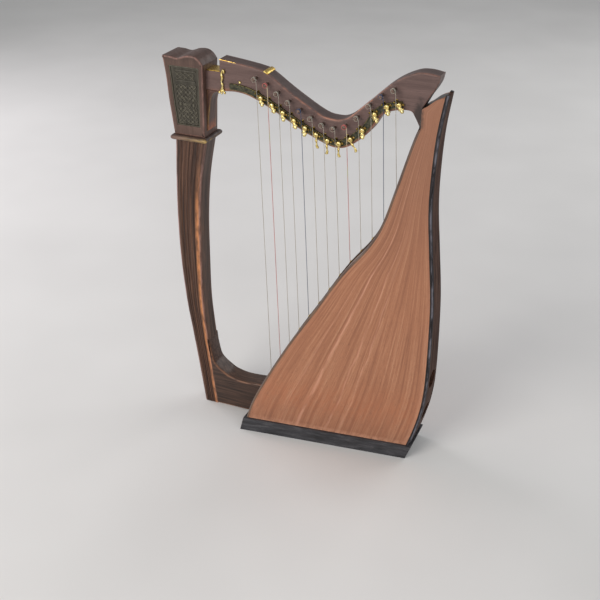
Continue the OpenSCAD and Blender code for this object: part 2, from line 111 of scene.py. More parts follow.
def above(path, z):
    """The part of a rising path above height z, with a new first point at z."""
    kept = [p for p in path if p[1] > z + 0.01]
    return [Vector((look(path, z, 1), z))] + kept


NECK_TOP = [(-131, 598), (-95, 594), (-68, 590), (-53, 585), (-17, 561.5), (26, 537), (48, 531), (70, 535),
            (98, 559), (136, 594), (166, 611), (186, 614), (204, 611.5)]
NECK_NOSE = [(204, 611.5), (202, 601), (197, 591), (190, 580), (181.5, 564)]
NECK_LOW = [(-131, 549), (-106, 551), (-82, 547), (-50, 533), (-2, 508), (36, 492), (57, 488), (77, 494.5),
            (105, 519), (123, 546), (143, 556), (164, 558), (172, 549), (179, 536)]
BOX_FRONT = [(-85, -24), (-66, 43), (-13, 147), (32, 222), (76, 295), (112, 343), (134, 384), (152, 444),
             (171, 512), (179, 536)]
BOX_TOP = [(181.5, 564), (190, 569.5), (196, 575), (204, 580.5), (218, 586)]
BOX_BACK = [(189, -24), (205, 24), (217, 78), (221.25, 140), (220, 256), (213, 342), (207, 410), (206.5, 466),
            (210, 530), (218, 586)]
PILLAR_LEFT = [(-183.5, -RISE), (-186, 0), (-194, 61), (-202, 120), (-210, 177), (-216, 252),
               (-217.5, 325), (-215.5, 395), (-211.5, 467)]
PILLAR_RIGHT = [(-157.5, -RISE), (-160, 0), (-167, 60), (-174, 127), (-178, 184), (-177.5, 260),
                (-175.5, 333), (-169, 403), (-157, 467)]
KNEE_TOP = [(-176, 112), (-170.5, 100), (-164, 69), (-157, 58), (-145, 49), (-132, 42), (-106, 38), (-60, 42)]
BRACKET_LOW = [(-131, 549), (-143, 545), (-149, 533), (-152.5, 510), (-155.8, 484)]
HEAD_LEFT = [(-208.5, 467), (-212, 500), (-215, 529), (-217.5, 567), (-221.5, 597)]
HEAD_RIGHT = [(-157.5, 467), (-155.5, 520), (-154.5, 560), (-153.5, 588)]
HEAD_CREST = [(-221.5, 597), (-209, 597), (-196, 595.5), (-182, 600), (-169, 600.5), (-160, 596), (-153.5, 588)]

neck_top, neck_nose = curve(NECK_TOP), curve(NECK_NOSE)
box_front, box_top, box_back = curve(BOX_FRONT), curve(BOX_TOP), curve(BOX_BACK)
pillar_left, pillar_right = curve(PILLAR_LEFT), curve(PILLAR_RIGHT)
head_left, head_right, head_crest = curve(HEAD_LEFT), curve(HEAD_RIGHT), curve(HEAD_CREST)

NECK_HALF = 13
PILLAR_HALF = 17
SIDE_T = 4
BACK_T = 5
HEAD_Z = 475
PANEL_Z = (490, 584)
# The soundbox's width at the front and the back of its foot, and at its top
BOX_W_FRONT, BOX_W_BACK, BOX_W_TOP = 132, 64, 27
TOP_X, TOP_Z = BOX_BACK[-1]
FOOT_FRONT, FOOT_BACK = look(box_front, -RISE, 1), look(box_back, -RISE, 1)
LEAN_X = (BOX_W_FRONT - BOX_W_BACK) / 2 / (FOOT_BACK - FOOT_FRONT)
LEAN_0 = BOX_W_FRONT / 2 + LEAN_X * FOOT_FRONT
LEAN_Z = (LEAN_0 - LEAN_X * TOP_X - BOX_W_TOP / 2) / (TOP_Z + RISE)


def box_half(x, z):
    """Half the soundbox's width at a place of its outline."""
    return LEAN_0 - LEAN_X * x - LEAN_Z * (z + RISE)


def head_half(z):
    return 22 + 3 * (z - HEAD_Z) / (600 - HEAD_Z)


# ---------------------------------------------------------------- meshes
class Shape:
    """A mesh being made, in millimetres, with what its finish needs at each point:
    grain = (along, across, deep) and finish = (rubbing and painted highlight, dark marks and painted shade, orange tint
    and painted light)."""

    def __init__(self):
        self.co, self.grain, self.finish, self.faces, self.parts = [], [], [], [], []

    def add(self, points, faces, grain=None, finish=None):
        base = len(self.co)
        self.co += [Vector(p) for p in points]
        self.grain += grain or [(p[2], p[0], p[1]) for p in points]
        self.finish += finish or [(0, 0, 0)] * len(points)
        self.faces += [tuple(base + i for i in f) for f in faces]

    def rings(self, rings, grain=None, finish=None, ends=True, loop=False):
        """Closed rings of equal length skinned one after the other, and the ends filled."""
        n = len(rings[0])
        count = len(rings)
        faces = []
        for i in range(count if loop else count - 1):
            a, b = i * n, (i + 1) % count * n
            for k in range(n):
                m = (k + 1) % n
                faces.append((a + k, a + m, b + m, b + k))
        if ends and not loop:
            for start in (0, (count - 1) * n):
                ring = [Vector(p) for p in rings[start // n]]
                faces += [tuple(start + i for i in t) for t in tessellate_polygon([ring])]
        flat = [p for r in rings for p in r]
        self.add(flat, faces, grain and [g for r in grain for g in r],
                 finish and [f for r in finish for f in r])

    def object(self, name, material, slot, body=ROOT, replaces=(), at=None, smooth=40):
        mesh = bpy.data.meshes.new(name)
        lift = Vector((0, 0, RISE if at is None else 0))
        mesh.from_pydata([(p + lift) * MM for p in self.co], [], self.faces)
        for title, values in (("grain", self.grain), ("finish", self.finish)):
            layer = mesh.attributes.new(title, "FLOAT_VECTOR", "POINT")
            layer.data.foreach_set("vector", [float(x) for v in values for x in v])
        bm = bmesh.new()
        bm.from_mesh(mesh)
        bmesh.ops.recalc_face_normals(bm, faces=bm.faces)
        for f in bm.faces:
            f.smooth = True
        for e in bm.edges:
            e.smooth = len(e.link_faces) != 2 or e.calc_face_angle(0) < math.radians(smooth)
        bm.to_mesh(mesh)
        bm.free()
        return place(bpy.data.objects.new(name, mesh), material, slot, body, replaces, at)


def place(obj, material, slot, body=ROOT, replaces=(), at=None):
    bpy.context.scene.collection.objects.link(obj)
    obj.data.materials.clear()
    obj.data.materials.append(material)
    if at is not None:
        obj.matrix_world = at
    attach(obj, body)
    if replaces:
        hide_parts(*replaces)
    return obj


def bar_ring(w, half, r, grooves=(), groove_w=0.05, groove_d=1.2, face_n=10, wall_n=4):
    """A rounded rectangle, w along s and from -half to half along y: a list of (s, y, edge, wall), where edge, for
    rubbing and painted highlight, peaks at 1 in the middle of each rounded corner, and wall is 1 on the far s side and
    -1 on the near one. Grooves run at fractions of its two faces."""
    r = min(r, w / 2.2, half / 1.1)
    out = []

    def corner(cs, cy, start):
        for k in range(5):
            a = math.radians(start + 22.5 * k)
            out.append((cs + r * math.cos(a), cy + r * math.sin(a), 1 - abs(k - 2) / 2.5, 0))

    def face(y, direction):
        for k in range(1, face_n):
            f = k / face_n if direction > 0 else 1 - k / face_n
            depth = sum(math.cos(min(abs(f - g) / groove_w, 1) * math.pi / 2) ** 2 for g in grooves) * groove_d
            out.append((r + (w - 2 * r) * f, y - math.copysign(depth, y), 0, 0))

    def wall(s, direction, tag):
        for k in range(1, wall_n):
            f = k / wall_n
            y = (half - r) * (2 * f - 1) * direction
            out.append((s, y, 0, tag))

    corner(r, r - half, 180)
    face(-half, 1)
    corner(w - r, r - half, 270)
    wall(w, 1, 1)
    corner(w - r, half - r, 0)
    face(half, -1)
    corner(r, half - r, 90)
    wall(0, -1, -1)
    return out


def bar(shape, stations, half, r, wear_and_highlight=None, stain_and_shade=(0, 0), warm_tint_and_light=None, ends=True, nominal=0,
        straight=False, **ring):
    """A bar whose section at each station runs from point a to point b and is 2 * half thick.
    The rubbing-and-highlight and the tint-and-light functions take the place p, the share f of the width, y and, for
    the first, the edge's own value.
    Its grain follows the bar, spread over a nominal width if one is given, or is straight along X."""
    rings, grains, finishes = [], [], []
    along, before = 0.0, None
    for a, b in stations:
        mid = (a + b) / 2
        along += (mid - before).length if before else 0
        before = mid
        w = (b - a).length
        u = (b - a) / max(w, 1e-6)
        one, grain, finish = [], [], []
        for s, y, edge, wall in bar_ring(w, half, r, **ring):
            p = a + u * s
            one.append((p[0], y, p[1]))
            f = s / max(w, 1e-6)
            grain.append((p[0], p[1], y) if straight else (along, f * nominal if nominal else s, y))
            stained_and_shaded = stain_and_shade[1] if wall > 0 else stain_and_shade[0] if wall < 0 else 0
            finish.append((wear_and_highlight(p, f, y, edge) if wear_and_highlight else edge, stained_and_shaded, warm_tint_and_light(p, f, y) if warm_tint_and_light else 0))
        rings.append(one)
        grains.append(grain)
        finishes.append(finish)
    shape.rings(rings, grains, finishes, ends)


def inset(outline, d):
    """A closed outline moved inwards by d. The outline runs clockwise seen from -Y."""
    n = len(outline)
    out = []
    for i in range(n):
        a, b, c = outline[i - 1], outline[i], outline[(i + 1) % n]
        u, v = left_of(b - a), left_of(c - b)
        m = (u + v).normalized()
        out.append(b - m * d / max(0.5, m.dot(u)))
    return out


def rounded(outline, r, limit=25):
    """A closed outline with its corners rounded."""
    out, n = [], len(outline)
    for i in range(n):
        a, b, c = outline[i - 1], outline[i], outline[(i + 1) % n]
        turn = (b - a).angle(c - b)
        if math.degrees(turn) < limit:
            out.append(b)
            continue
        cut = min(r * math.tan(turn / 2), 0.45 * (b - a).length, 0.45 * (c - b).length)
        p, q = b + (a - b).normalized() * cut, b + (c - b).normalized() * cut
        for k in range(5):
            t = k / 4
            out.append(p * (1 - t) ** 2 + b * 2 * t * (1 - t) + q * t * t)
    return out


def clockwise(outline):
    area = sum(a[0] * b[1] - b[0] * a[1] for a, b in zip(outline, outline[1:] + outline[:1]))
    return outline if area < 0 else outline[::-1]


def slab(shape, outline, half, r, hole=None, hole_depth=0, wear_and_highlight=1, stain_and_shade=None, warm_tint_and_light=None):
    """A plate between y = -half(z) and y = half(z) with rounded edges, and the same hole recessed in both
    faces."""
    outline = clockwise(outline)

    def finish(p, w):
        return (w * wear_and_highlight, stain_and_shade(p) if stain_and_shade else 0, warm_tint_and_light(p) if warm_tint_and_light else 0)

    def ring(d, lift, sign):
        return [(p[0], sign * (half(p[1]) - lift), p[1]) for p in inset(outline, d)]

    steps = [(r * (1 - math.cos(a)), r * (1 - math.sin(a))) for a in [math.radians(22.5 * k) for k in range(5)]]
    steps.append((r + 1.2, 0))
    levels = [(d, lift, -1, k) for k, (d, lift) in reversed(list(enumerate(steps)))]
    levels += [(d, lift, 1, k) for k, (d, lift) in enumerate(steps)]
    wear_and_highlight_share = [0.15, 0.7, 1, 0.9, 0.5, 0]
    rings = [ring(d, lift, sign) for d, lift, sign, _ in levels]
    finishes = [[finish((p[0], p[2]), wear_and_highlight_share[level[3]]) for p in row] for row, level in zip(rings, levels)]
    shape.rings(rings, None, finishes, ends=False)
    for sign in (-1, 1):
        outer = [Vector((p[0], p[1])) for p in inset(outline, r + 1.2)]
        loops = [[Vector((p[0], 0, p[1])) for p in outer]]
        points = [(p[0], sign * half(p[1]), p[1]) for p in outer]
        if hole:
            inner = clockwise(hole)
            loops.append([Vector((p[0], 0, p[1])) for p in inner])
            points += [(p[0], sign * half(p[1]), p[1]) for p in inner]
        shape.add(points, tessellate_polygon(loops), None, [finish((p[0], p[2]), 0) for p in points])
        if hole:
            # The recess walls are darkened as painted shade, and the lip is paler.
            walls = [[(p[0], sign * (half(p[1]) - lift), p[1]) for p in inset(inner, d)]
                     for d, lift in ((0, 0), (0.5, 0.25), (0.8, 0.9), (0.8, hole_depth))]
            shape.rings(walls, None, [[(w, 0.3, 0)] * len(inner) for w in (0.4, 0.6, 0, 0)], ends=False)
    weld(shape)


def weld(shape):
    """Joins points that lie on each other."""
    seen, new, keep = {}, [], []
    for i, p in enumerate(shape.co):
        key = tuple(round(c, 4) for c in p)
        if key not in seen:
            seen[key] = len(keep)
            keep.append(i)
        new.append(seen[key])
    shape.co = [shape.co[i] for i in keep]
    shape.grain = [shape.grain[i] for i in keep]
    shape.finish = [shape.finish[i] for i in keep]
    faces = []
    for f in shape.faces:
        g = []
        for i in f:
            if new[i] not in g:
                g.append(new[i])
        if len(g) > 2:
            faces.append(tuple(g))
    shape.faces = faces


def tube(shape, path, radius, sides=8, ends=True, finish=None):
    """A round tube along a path in space. radius is one number or one for each point."""
    pts = [Vector(p) for p in path]
    last = len(pts) - 1
    radii = radius if isinstance(radius, list) else [radius] * (last + 1)
    way = (pts[1] - pts[0]).normalized()
    side = way.orthogonal().normalized()
    rings, grains, along = [], [], 0.0
    for i, p in enumerate(pts):
        new = (pts[min(i + 1, last)] - pts[max(i - 1, 0)]).normalized()
        side = way.rotation_difference(new) @ side
        way = new
        up = way.cross(side).normalized()
        along += (p - pts[i - 1]).length if i else 0
        ring, grain = [], []
        for k in range(sides):
            a = 2 * math.pi * k / sides
            ring.append(p + radii[i] * (side * math.cos(a) + up * math.sin(a)))
            grain.append((along, radii[i] * math.cos(a), radii[i] * math.sin(a)))
        rings.append(ring)
        grains.append(grain)
    shape.rings(rings, grains, [[finish(p) if finish else (0, 0, 0) for p in r] for r in rings], ends)


def lathe(shape, profile, centre=(0, 0), sides=20, finish=(0, 0, 0)):
    """A round piece about an axis along Y: profile is a list of (y, radius)."""
    rings = []
    for y, r in profile:
        rings.append([(centre[0] + r * math.cos(2 * math.pi * k / sides), y,
                       centre[1] + r * math.sin(2 * math.pi * k / sides)) for k in range(sides)])
    shape.rings(rings, None, [[finish] * sides] * len(rings))


def ball(centre, size, rings=10, sides=16):
    """A closed ellipsoid as (points, faces)."""
    points = []
    for i in range(rings + 1):
        a = math.pi * i / rings
        for k in range(sides):
            b = 2 * math.pi * k / sides
            points.append((centre[0] + size[0] * math.sin(a) * math.cos(b),
                           centre[1] + size[1] * math.sin(a) * math.sin(b), centre[2] + size[2] * math.cos(a)))
    faces = [(i * sides + k, i * sides + (k + 1) % sides,
              (i + 1) * sides + (k + 1) % sides, (i + 1) * sides + k)
             for i in range(rings) for k in range(sides)]
    return points, faces


def cast(shape, name, voxel=0.35, smooth=4, lift=0):
    """The shape's overlapping parts melted into one smooth cast mesh, raised by lift."""
    weld(shape)
    mesh = bpy.data.meshes.new(name)
    mesh.from_pydata([(p + Vector((0, 0, lift))) * MM for p in shape.co], [], shape.faces)
    rough = bpy.data.objects.new(name + "_rough", mesh)
    bpy.context.scene.collection.objects.link(rough)
    bm = bmesh.new()
    bm.from_mesh(mesh)
    bmesh.ops.recalc_face_normals(bm, faces=bm.faces)
    bm.to_mesh(mesh)
    bm.free()
    remesh = rough.modifiers.new("melt", "REMESH")
    remesh.mode = "VOXEL"
    remesh.voxel_size = voxel * MM
    soften = rough.modifiers.new("soften", "SMOOTH")
    soften.factor = 0.5
    soften.iterations = smooth
    graph = bpy.context.evaluated_depsgraph_get()
    melted = bpy.data.meshes.new_from_object(rough.evaluated_get(graph))
    melted.name = name
    bpy.data.objects.remove(rough)
    melted.shade_smooth()
    return melted


# ---------------------------------------------------------------- materials
def rgb(r, g, b):
    return tuple(((c / 255 + 0.055) / 1.055) ** 2.4 for c in (r, g, b)) + (1.0,)


class Paint:
    """A material and its nodes."""

    def __init__(self, name, rough=0.5, metal=0.0, coat=0.0, specular=0.5):
        self.material = bpy.data.materials.new(name)
        self.material.use_nodes = True
        self.tree = self.material.node_tree
        self.shader = self.tree.nodes["Principled BSDF"]
        self.shader.inputs["Roughness"].default_value = rough
        self.shader.inputs["Metallic"].default_value = metal
        self.shader.inputs["Coat Weight"].default_value = coat
        self.shader.inputs["Coat Roughness"].default_value = 0.2
        self.shader.inputs["Specular IOR Level"].default_value = specular

    def node(self, kind, links=None, **values):
        n = self.tree.nodes.new(kind)
        for key, value in values.items():
            setattr(n, key, value)
        for key, value in (links or {}).items():
            if isinstance(value, bpy.types.NodeSocket):
                self.tree.links.new(value, n.inputs[key])
            else:
                n.inputs[key].default_value = value
        return n

    def made_grain(self):
        """The (along, across, deep) places stored on the pieces made here."""
        return self.node("ShaderNodeAttribute", attribute_name="grain").outputs["Vector"]

    def frame_place(self, along):
        """The place in the frame in millimetres, turned so that the grain's axis comes first."""
        turn = {"x": (0, 0, 0), "z": (0, math.radians(90), 0), "y": (0, 0, math.radians(-90))}[along]
        spot = self.node("ShaderNodeTexCoord").outputs["Object"]
        return self.node("ShaderNodeMapping", {0: spot, "Rotation": turn, "Scale": (1000, 1000, 1000)}).outputs[0]

    def noise(self, place, scale, detail=4.0, rough=0.55, twist=0.0):
        spot = self.node("ShaderNodeMapping", {0: place, "Scale": scale}).outputs[0]
        return self.node("ShaderNodeTexNoise", {"Vector": spot, "Scale": 1.0, "Detail": detail, "Roughness": rough,
                                                "Distortion": twist}).outputs["Fac"]

    def ramp(self, value, *stops):
        n = self.node("ShaderNodeValToRGB", {0: value})
        band = n.color_ramp
        while len(band.elements) < len(stops):
            band.elements.new(0.5)
        for e, (at, colour) in zip(band.elements, stops):
            e.position = at
            e.color = colour if isinstance(colour, tuple) else (colour, colour, colour, 1)
        return n.outputs["Color"]

    def mix(self, share, a, b, way="MIX"):
        n = self.node("ShaderNodeMix", data_type="RGBA", blend_type=way)
        for socket, value in ((n.inputs[0], share), (n.inputs[6], a), (n.inputs[7], b)):
            if isinstance(value, bpy.types.NodeSocket):
                self.tree.links.new(value, socket)
            else:
                socket.default_value = value
        return n.outputs[2]

    def maths(self, way, *values, clamp=True):
        return self.node("ShaderNodeMath", dict(enumerate(values)), operation=way, use_clamp=clamp).outputs[0]

    def made_finish(self):
        """Rubbing with painted highlight, dark marks with painted shade, and orange tint with painted light, as stored
        on the pieces made here.
        """
        spot = self.node("ShaderNodeAttribute", attribute_name="finish").outputs["Vector"]
        return list(self.node("ShaderNodeSeparateXYZ", {0: spot}).outputs)

    def seam(self, place, across, half_width, share):
        """A broken line along the grain at one distance across it."""
        wobble = self.noise(place, (1 / 60, 0.02, 0.02), 2, 0.5)
        y = self.node("ShaderNodeSeparateXYZ", {0: place}).outputs["Y"]
        swing = 6.0
        off = self.maths("MULTIPLY_ADD", wobble, swing, -across - swing / 2, clamp=False)
        away = self.maths("ABSOLUTE", self.maths("ADD", y, off, clamp=False), clamp=False)
        line = self.ramp(self.maths("DIVIDE", away, half_width), (0.2, share), (1.0, 0.0))
        broken = self.noise(place, (1 / 40, 0.3, 0.3), 4, 0.6)
        return self.maths("MULTIPLY", line, self.ramp(broken, (0.36, 0.15), (0.55, 1.0)))

    def colour(self, value):
        self.tree.links.new(value, self.shader.inputs["Base Color"])

    def roughness(self, value):
        self.tree.links.new(value, self.shader.inputs["Roughness"])

    def bump(self, value, deep, strength=0.6):
        n = self.node("ShaderNodeBump", {"Height": value, "Distance": deep * MM, "Strength": strength})
        self.tree.links.new(n.outputs["Normal"], self.shader.inputs["Normal"])


def wood(name, dark, mid, light, made=True, along="z", streak=4.0, length=70.0, wear_and_highlight=None, stained_and_shaded=None,
         warm_tint_and_light=None, coat=0.12, rough=(0.38, 0.6), deep=0.25, contrast=1.0, broad_share=0.55, wear_and_highlight_share=0.25,
         painted_shadow_at=None, specular=0.3, seams=()):
    """Streaky waxed wood: broad tone, streaks along the grain, fine fibres and pores, with rubbed edges that also carry
    painted highlight, dark marks and painted shade, an orange tint and painted light, and a painted shadow patch.
    seams are pale lines along the grain: (distance across it, half width, share)."""
    p = Paint(name, coat=coat, specular=specular)
    place = p.made_grain() if made else p.frame_place(along)
    broad = p.noise(place, (0.35 / length, 0.02, 0.02), 3, 0.5)
    streaks = p.noise(place, (1 / length, 1 / streak, 1 / streak), 5, 0.6, 0.4)
    fibres = p.noise(place, (1 / 22, 1.6, 1.6), 3, 0.6)
    pores = p.noise(place, (1 / 9, 3.2, 3.2), 2, 0.5)
    half = 0.17 / contrast
    tone = p.ramp(streaks, (0.5 - half, rgb(*dark)), (0.5, rgb(*mid)), (0.5 + half, rgb(*light)))
    darker = p.mix(1.0, tone, (0.74, 0.72, 0.72, 1), "MULTIPLY")
    tone = p.mix(p.ramp(broad, (0.35, 0.0), (0.65, broad_share)), tone, darker)
    tone = p.mix(p.ramp(fibres, (0.38, 0.45), (0.52, 0.0)), tone, rgb(*dark))
    pit = p.mix(1.0, rgb(*dark), (0.5, 0.5, 0.5, 1), "MULTIPLY")
    tone = p.mix(p.ramp(pores, (0.30, 0.7), (0.38, 0.0)), tone, pit)
    if made:
        edge, stain_and_shade, glow = p.made_finish()
        for across, half_width, share in seams:
            line = p.seam(place, across, half_width, share)
            tone = p.mix(line, tone, rgb(*wear_and_highlight))
        # Dark marks, which most pieces use as painted shade on faces turned from the light and in hollows.
        if stained_and_shaded:
            tone = p.mix(p.maths("MULTIPLY", stain_and_shade, 0.85), tone, p.mix(0.55, rgb(*stained_and_shaded), tone, "MIX"))
        patch = p.noise(place, (1 / 22, 1 / 5, 1 / 5), 5, 0.65)
        # An orange tint, which the pillar uses as a painted lit band and the collar as a painted glint.
        if warm_tint_and_light:
            tone = p.mix(p.maths("MULTIPLY", glow, p.ramp(patch, (0.38, 0.15), (0.6, 1.0))), tone, rgb(*warm_tint_and_light))
        # Rubbed edges, which several pieces also use as a painted highlight.
        if wear_and_highlight:
            share = p.maths("MULTIPLY", edge, p.ramp(patch, (0.4, wear_and_highlight_share), (0.6, 1.0)))
            tone = p.mix(share, tone, rgb(*wear_and_highlight))
    # A painted shadow patch with a ragged rim round a given point, used where the neck meets the soundbox.
    if painted_shadow_at:
        centre, reach, shade = painted_shadow_at
        spot = p.node("ShaderNodeTexCoord").outputs["Object"]
        centre = [centre[0] * MM, centre[1] * MM, (centre[2] + RISE) * MM]
        away = p.node("ShaderNodeVectorMath", {0: spot, 1: centre}, operation="SUBTRACT").outputs[0]
        flat = p.node("ShaderNodeMapping", {0: away, "Rotation": (0, math.radians(-8), 0),
                                            "Scale": [1000 / r for r in reach]}).outputs[0]
        size = p.node("ShaderNodeVectorMath", {0: flat}, operation="LENGTH").outputs["Value"]
        ragged = p.noise(p.frame_place("x"), (0.11, 0.11, 0.11), 5, 0.7)
        near = p.maths("SUBTRACT", p.maths("ADD", p.maths("MULTIPLY", ragged, 1.1), 0.35), size)
        tone = p.mix(p.ramp(near, (0.0, 0.0), (0.45, 0.8)), tone, rgb(*shade))
    p.colour(tone)
    p.roughness(p.ramp(streaks, (0.3, rough[1]), (0.7, rough[0])))
    height = p.maths("ADD", p.maths("MULTIPLY", fibres, 0.5), p.maths("MULTIPLY", streaks, 0.5))
    p.bump(height, deep)
    return p.material


def metal(name, dark, mid, light, rough=(0.25, 0.5), metallic=1.0, grain=0.5, wear_and_highlight=None):
    """Cast or aged metal: mottled tone, scratches and tarnish in its roughness."""
    p = Paint(name, metal=metallic)
    place = p.frame_place("x")
    blotch = p.noise(place, (grain, grain, grain), 5, 0.65)
    fine = p.noise(place, (grain * 6,) * 3, 3, 0.6)
    scratch = p.noise(place, (0.4, 5.0, 5.0), 2, 0.5)
    tone = p.ramp(blotch, (0.34, rgb(*dark)), (0.5, rgb(*mid)), (0.64, rgb(*light)))
    tone = p.mix(p.ramp(fine, (0.35, 0.5), (0.5, 0.0)), tone, rgb(*dark))
    if wear_and_highlight:
        edge = p.made_finish()[0]
        tone = p.mix(p.maths("MULTIPLY", edge, p.ramp(blotch, (0.38, 0.1), (0.56, 1.0))), tone, rgb(*wear_and_highlight))
    p.colour(tone)
    p.roughness(p.ramp(p.mix(0.5, blotch, scratch), (0.35, rough[1]), (0.65, rough[0])))
    p.bump(p.maths("ADD", p.maths("MULTIPLY", fine, 0.6), p.maths("MULTIPLY", scratch, 0.4)), 0.06)
    return p.material


def cord(name, tone, other, rough=0.35, clear=0.0):
    """A smooth string with a fine twist and a rubbed, two-tone length."""
    p = Paint(name, rough=rough)
    place = p.made_grain()
    drift = p.noise(place, (1 / 45, 0.2, 0.2), 3, 0.6)
    twist = p.noise(place, (1.3, 1.2, 1.2), 2, 0.5)
    base = p.ramp(drift, (0.38, rgb(*tone)), (0.62, rgb(*other)))
    base = p.mix(p.ramp(twist, (0.4, 0.35), (0.6, 0.0)), base, p.mix(1.0, base, (0.6, 0.6, 0.6, 1), "MULTIPLY"))
    finish = p.made_finish()
    base = p.mix(finish[0], base, rgb(208, 190, 158))
    base = p.mix(finish[2], base, rgb(150, 160, 70))
    p.colour(base)
    p.roughness(p.ramp(twist, (0.3, rough + 0.15), (0.7, rough - 0.1)))
    p.shader.inputs["Transmission Weight"].default_value = clear
    p.bump(twist, 0.05)
    return p.material


# The pale lavender is rubbing and a painted rim highlight, the near-black is painted shade on the side walls, and the
# orange is a painted lit band.
PILLAR_WOOD = wood("pillar_wood", (42, 28, 22), (84, 58, 45), (112, 80, 62), streak=2.2, length=110,
                   wear_and_highlight=(182, 150, 146), stained_and_shaded=(36, 30, 29), warm_tint_and_light=(200, 132, 84), coat=0.08, contrast=1.15, wear_and_highlight_share=0.3)
# The dark colour is painted shade towards the crest top and the right edge.
HEAD_WOOD = wood("head_wood", (76, 57, 50), (95, 73, 64), (108, 84, 74), streak=7, length=150,
                 wear_and_highlight=(142, 106, 96), stained_and_shaded=(46, 39, 37), coat=0.05, contrast=0.7, broad_share=0.3, wear_and_highlight_share=0.35)
# The dark colour is painted shade in the carving's hollows.
PANEL_WOOD = wood("carved_panel", (56, 52, 43), (76, 72, 61), (92, 87, 74), streak=5, length=30,
                  wear_and_highlight=(108, 103, 88), stained_and_shaded=(44, 41, 34), coat=0.1, rough=(0.45, 0.65), contrast=0.8)
# The gold-orange is a painted glint on the near-right corner, and the near-black is painted shade on the right end.
COLLAR_WOOD = wood("collar_wood", (60, 46, 41), (82, 64, 57), (98, 78, 70), streak=5, wear_and_highlight=(128, 100, 90),
                   stained_and_shaded=(32, 31, 32), warm_tint_and_light=(196, 164, 92), coat=0.08)
KNEE_WOOD = wood("knee_wood", (44, 31, 26), (72, 51, 42), (94, 68, 55), streak=4, wear_and_highlight=(128, 88, 64),
                 stained_and_shaded=(56, 56, 46), coat=0.2)
# The orange-pink is rubbing and a painted lit line on the near upper edge, the dark is painted shade on the top face,
# and the patch round the joint is a painted shadow.
NECK_WOOD = wood("neck_wood", (86, 67, 63), (103, 82, 77), (113, 90, 85), streak=6, length=120,
                 wear_and_highlight=(188, 130, 106), stained_and_shaded=(46, 39, 37), warm_tint_and_light=(152, 104, 82), coat=0.05, contrast=0.7,
                 broad_share=0.3, wear_and_highlight_share=0.0, painted_shadow_at=((178, 0, 556), (12, 60, 30), (44, 37, 35)))
# The dark colour is painted shade in the cove's underside; the gold is rubbing and a painted highlight on the edges.
BRACKET_WOOD = wood("bracket_wood", (52, 31, 24), (96, 66, 55), (120, 86, 72), streak=4, wear_and_highlight=(170, 132, 72),
                    stained_and_shaded=(52, 32, 25), warm_tint_and_light=(184, 100, 54), coat=0.25)
# The pale colour also paints a lit line along the lower edge, and the dark patch round the neck joint is a painted
# shadow.
SIDE_WOOD = wood("side_wood", (140, 90, 65), (168, 113, 82), (186, 134, 102), streak=3.5, length=260,
                 wear_and_highlight=(206, 150, 122), stained_and_shaded=(84, 63, 58), warm_tint_and_light=(176, 104, 68), coat=0.12, rough=(0.42, 0.58),
                 contrast=0.9, broad_share=0.2, specular=0.4,
                 painted_shadow_at=((178, 0, 552), (11, 60, 30), (50, 41, 38)),
                 seams=((47, 2.2, 0.75), (74, 1.5, 0.5), (86, 1.3, 0.45), (30, 1.2, 0.3)))
BOARD_WOOD = wood("soundboard_wood", (102, 72, 50), (138, 102, 74), (162, 126, 94), streak=3, length=140,
                  wear_and_highlight=(92, 96, 104), stained_and_shaded=(40, 42, 48), coat=0.2)
BACK_WOOD = wood("back_wood", (52, 32, 26), (80, 54, 43), (100, 70, 56), made=False, along="z", streak=5,
                 length=120, coat=0, rough=(0.55, 0.7), specular=0.1)
# The pale blue-grey on the rounded corner is a painted silver highlight.
BINDING = wood("binding_wood", (24, 20, 20), (36, 32, 33), (52, 47, 48), streak=4, length=60,
               wear_and_highlight=(132, 130, 140), coat=0.1, rough=(0.36, 0.55), deep=0.08, wear_and_highlight_share=0.0, specular=0.2)
TOP_WOOD = wood("top_wood", (44, 40, 38), (74, 68, 64), (98, 90, 84), made=False, along="x", streak=4, coat=0.3)
BASE_WOOD = wood("base_wood", (60, 44, 36), (92, 70, 58), (118, 92, 76), made=False, along="x", streak=5)
PLINTH_WOOD = wood("plinth_wood", (38, 38, 40), (60, 60, 64), (84, 83, 86), made=False, along="x", streak=5,
                   length=60, coat=0.25)
RIB_WOOD = wood("rib_wood", (40, 30, 26), (70, 54, 46), (92, 72, 60), made=False, streak=2.5, coat=0.2)
INNER_WOOD = wood("inner_wood", (150, 116, 80), (184, 150, 108), (206, 176, 134), made=False, streak=3,
                  coat=0.0, rough=(0.55, 0.75))
BRASS = metal("brass", (150, 112, 44), (216, 178, 88), (246, 226, 146), rough=(0.22, 0.42))
LEVER_BRASS = metal("lever_brass", (172, 138, 72), (230, 206, 128), (252, 243, 188), rough=(0.2, 0.4),
                    grain=0.35)
AGED_BRASS = metal("aged_brass", (44, 42, 26), (104, 88, 44), (186, 158, 84), rough=(0.35, 0.6), grain=0.6)
PATINA = metal("patinated_metal", (18, 21, 19), (38, 43, 39), (70, 73, 60), rough=(0.38, 0.65), metallic=0.5,
               grain=0.3, wear_and_highlight=(150, 134, 76))
PIN_METAL = metal("pin_metal", (78, 62, 55), (112, 92, 83), (140, 118, 106), rough=(0.45, 0.6),
                  metallic=0.5, grain=0.4)
STRING_CLEAR = cord("string_clear", (196, 188, 172), (214, 208, 194), clear=0.55)
STRING_RED = cord("string_red", (172, 70, 72), (200, 116, 108))
STRING_BLUE = cord("string_blue", (44, 52, 78), (72, 82, 110))


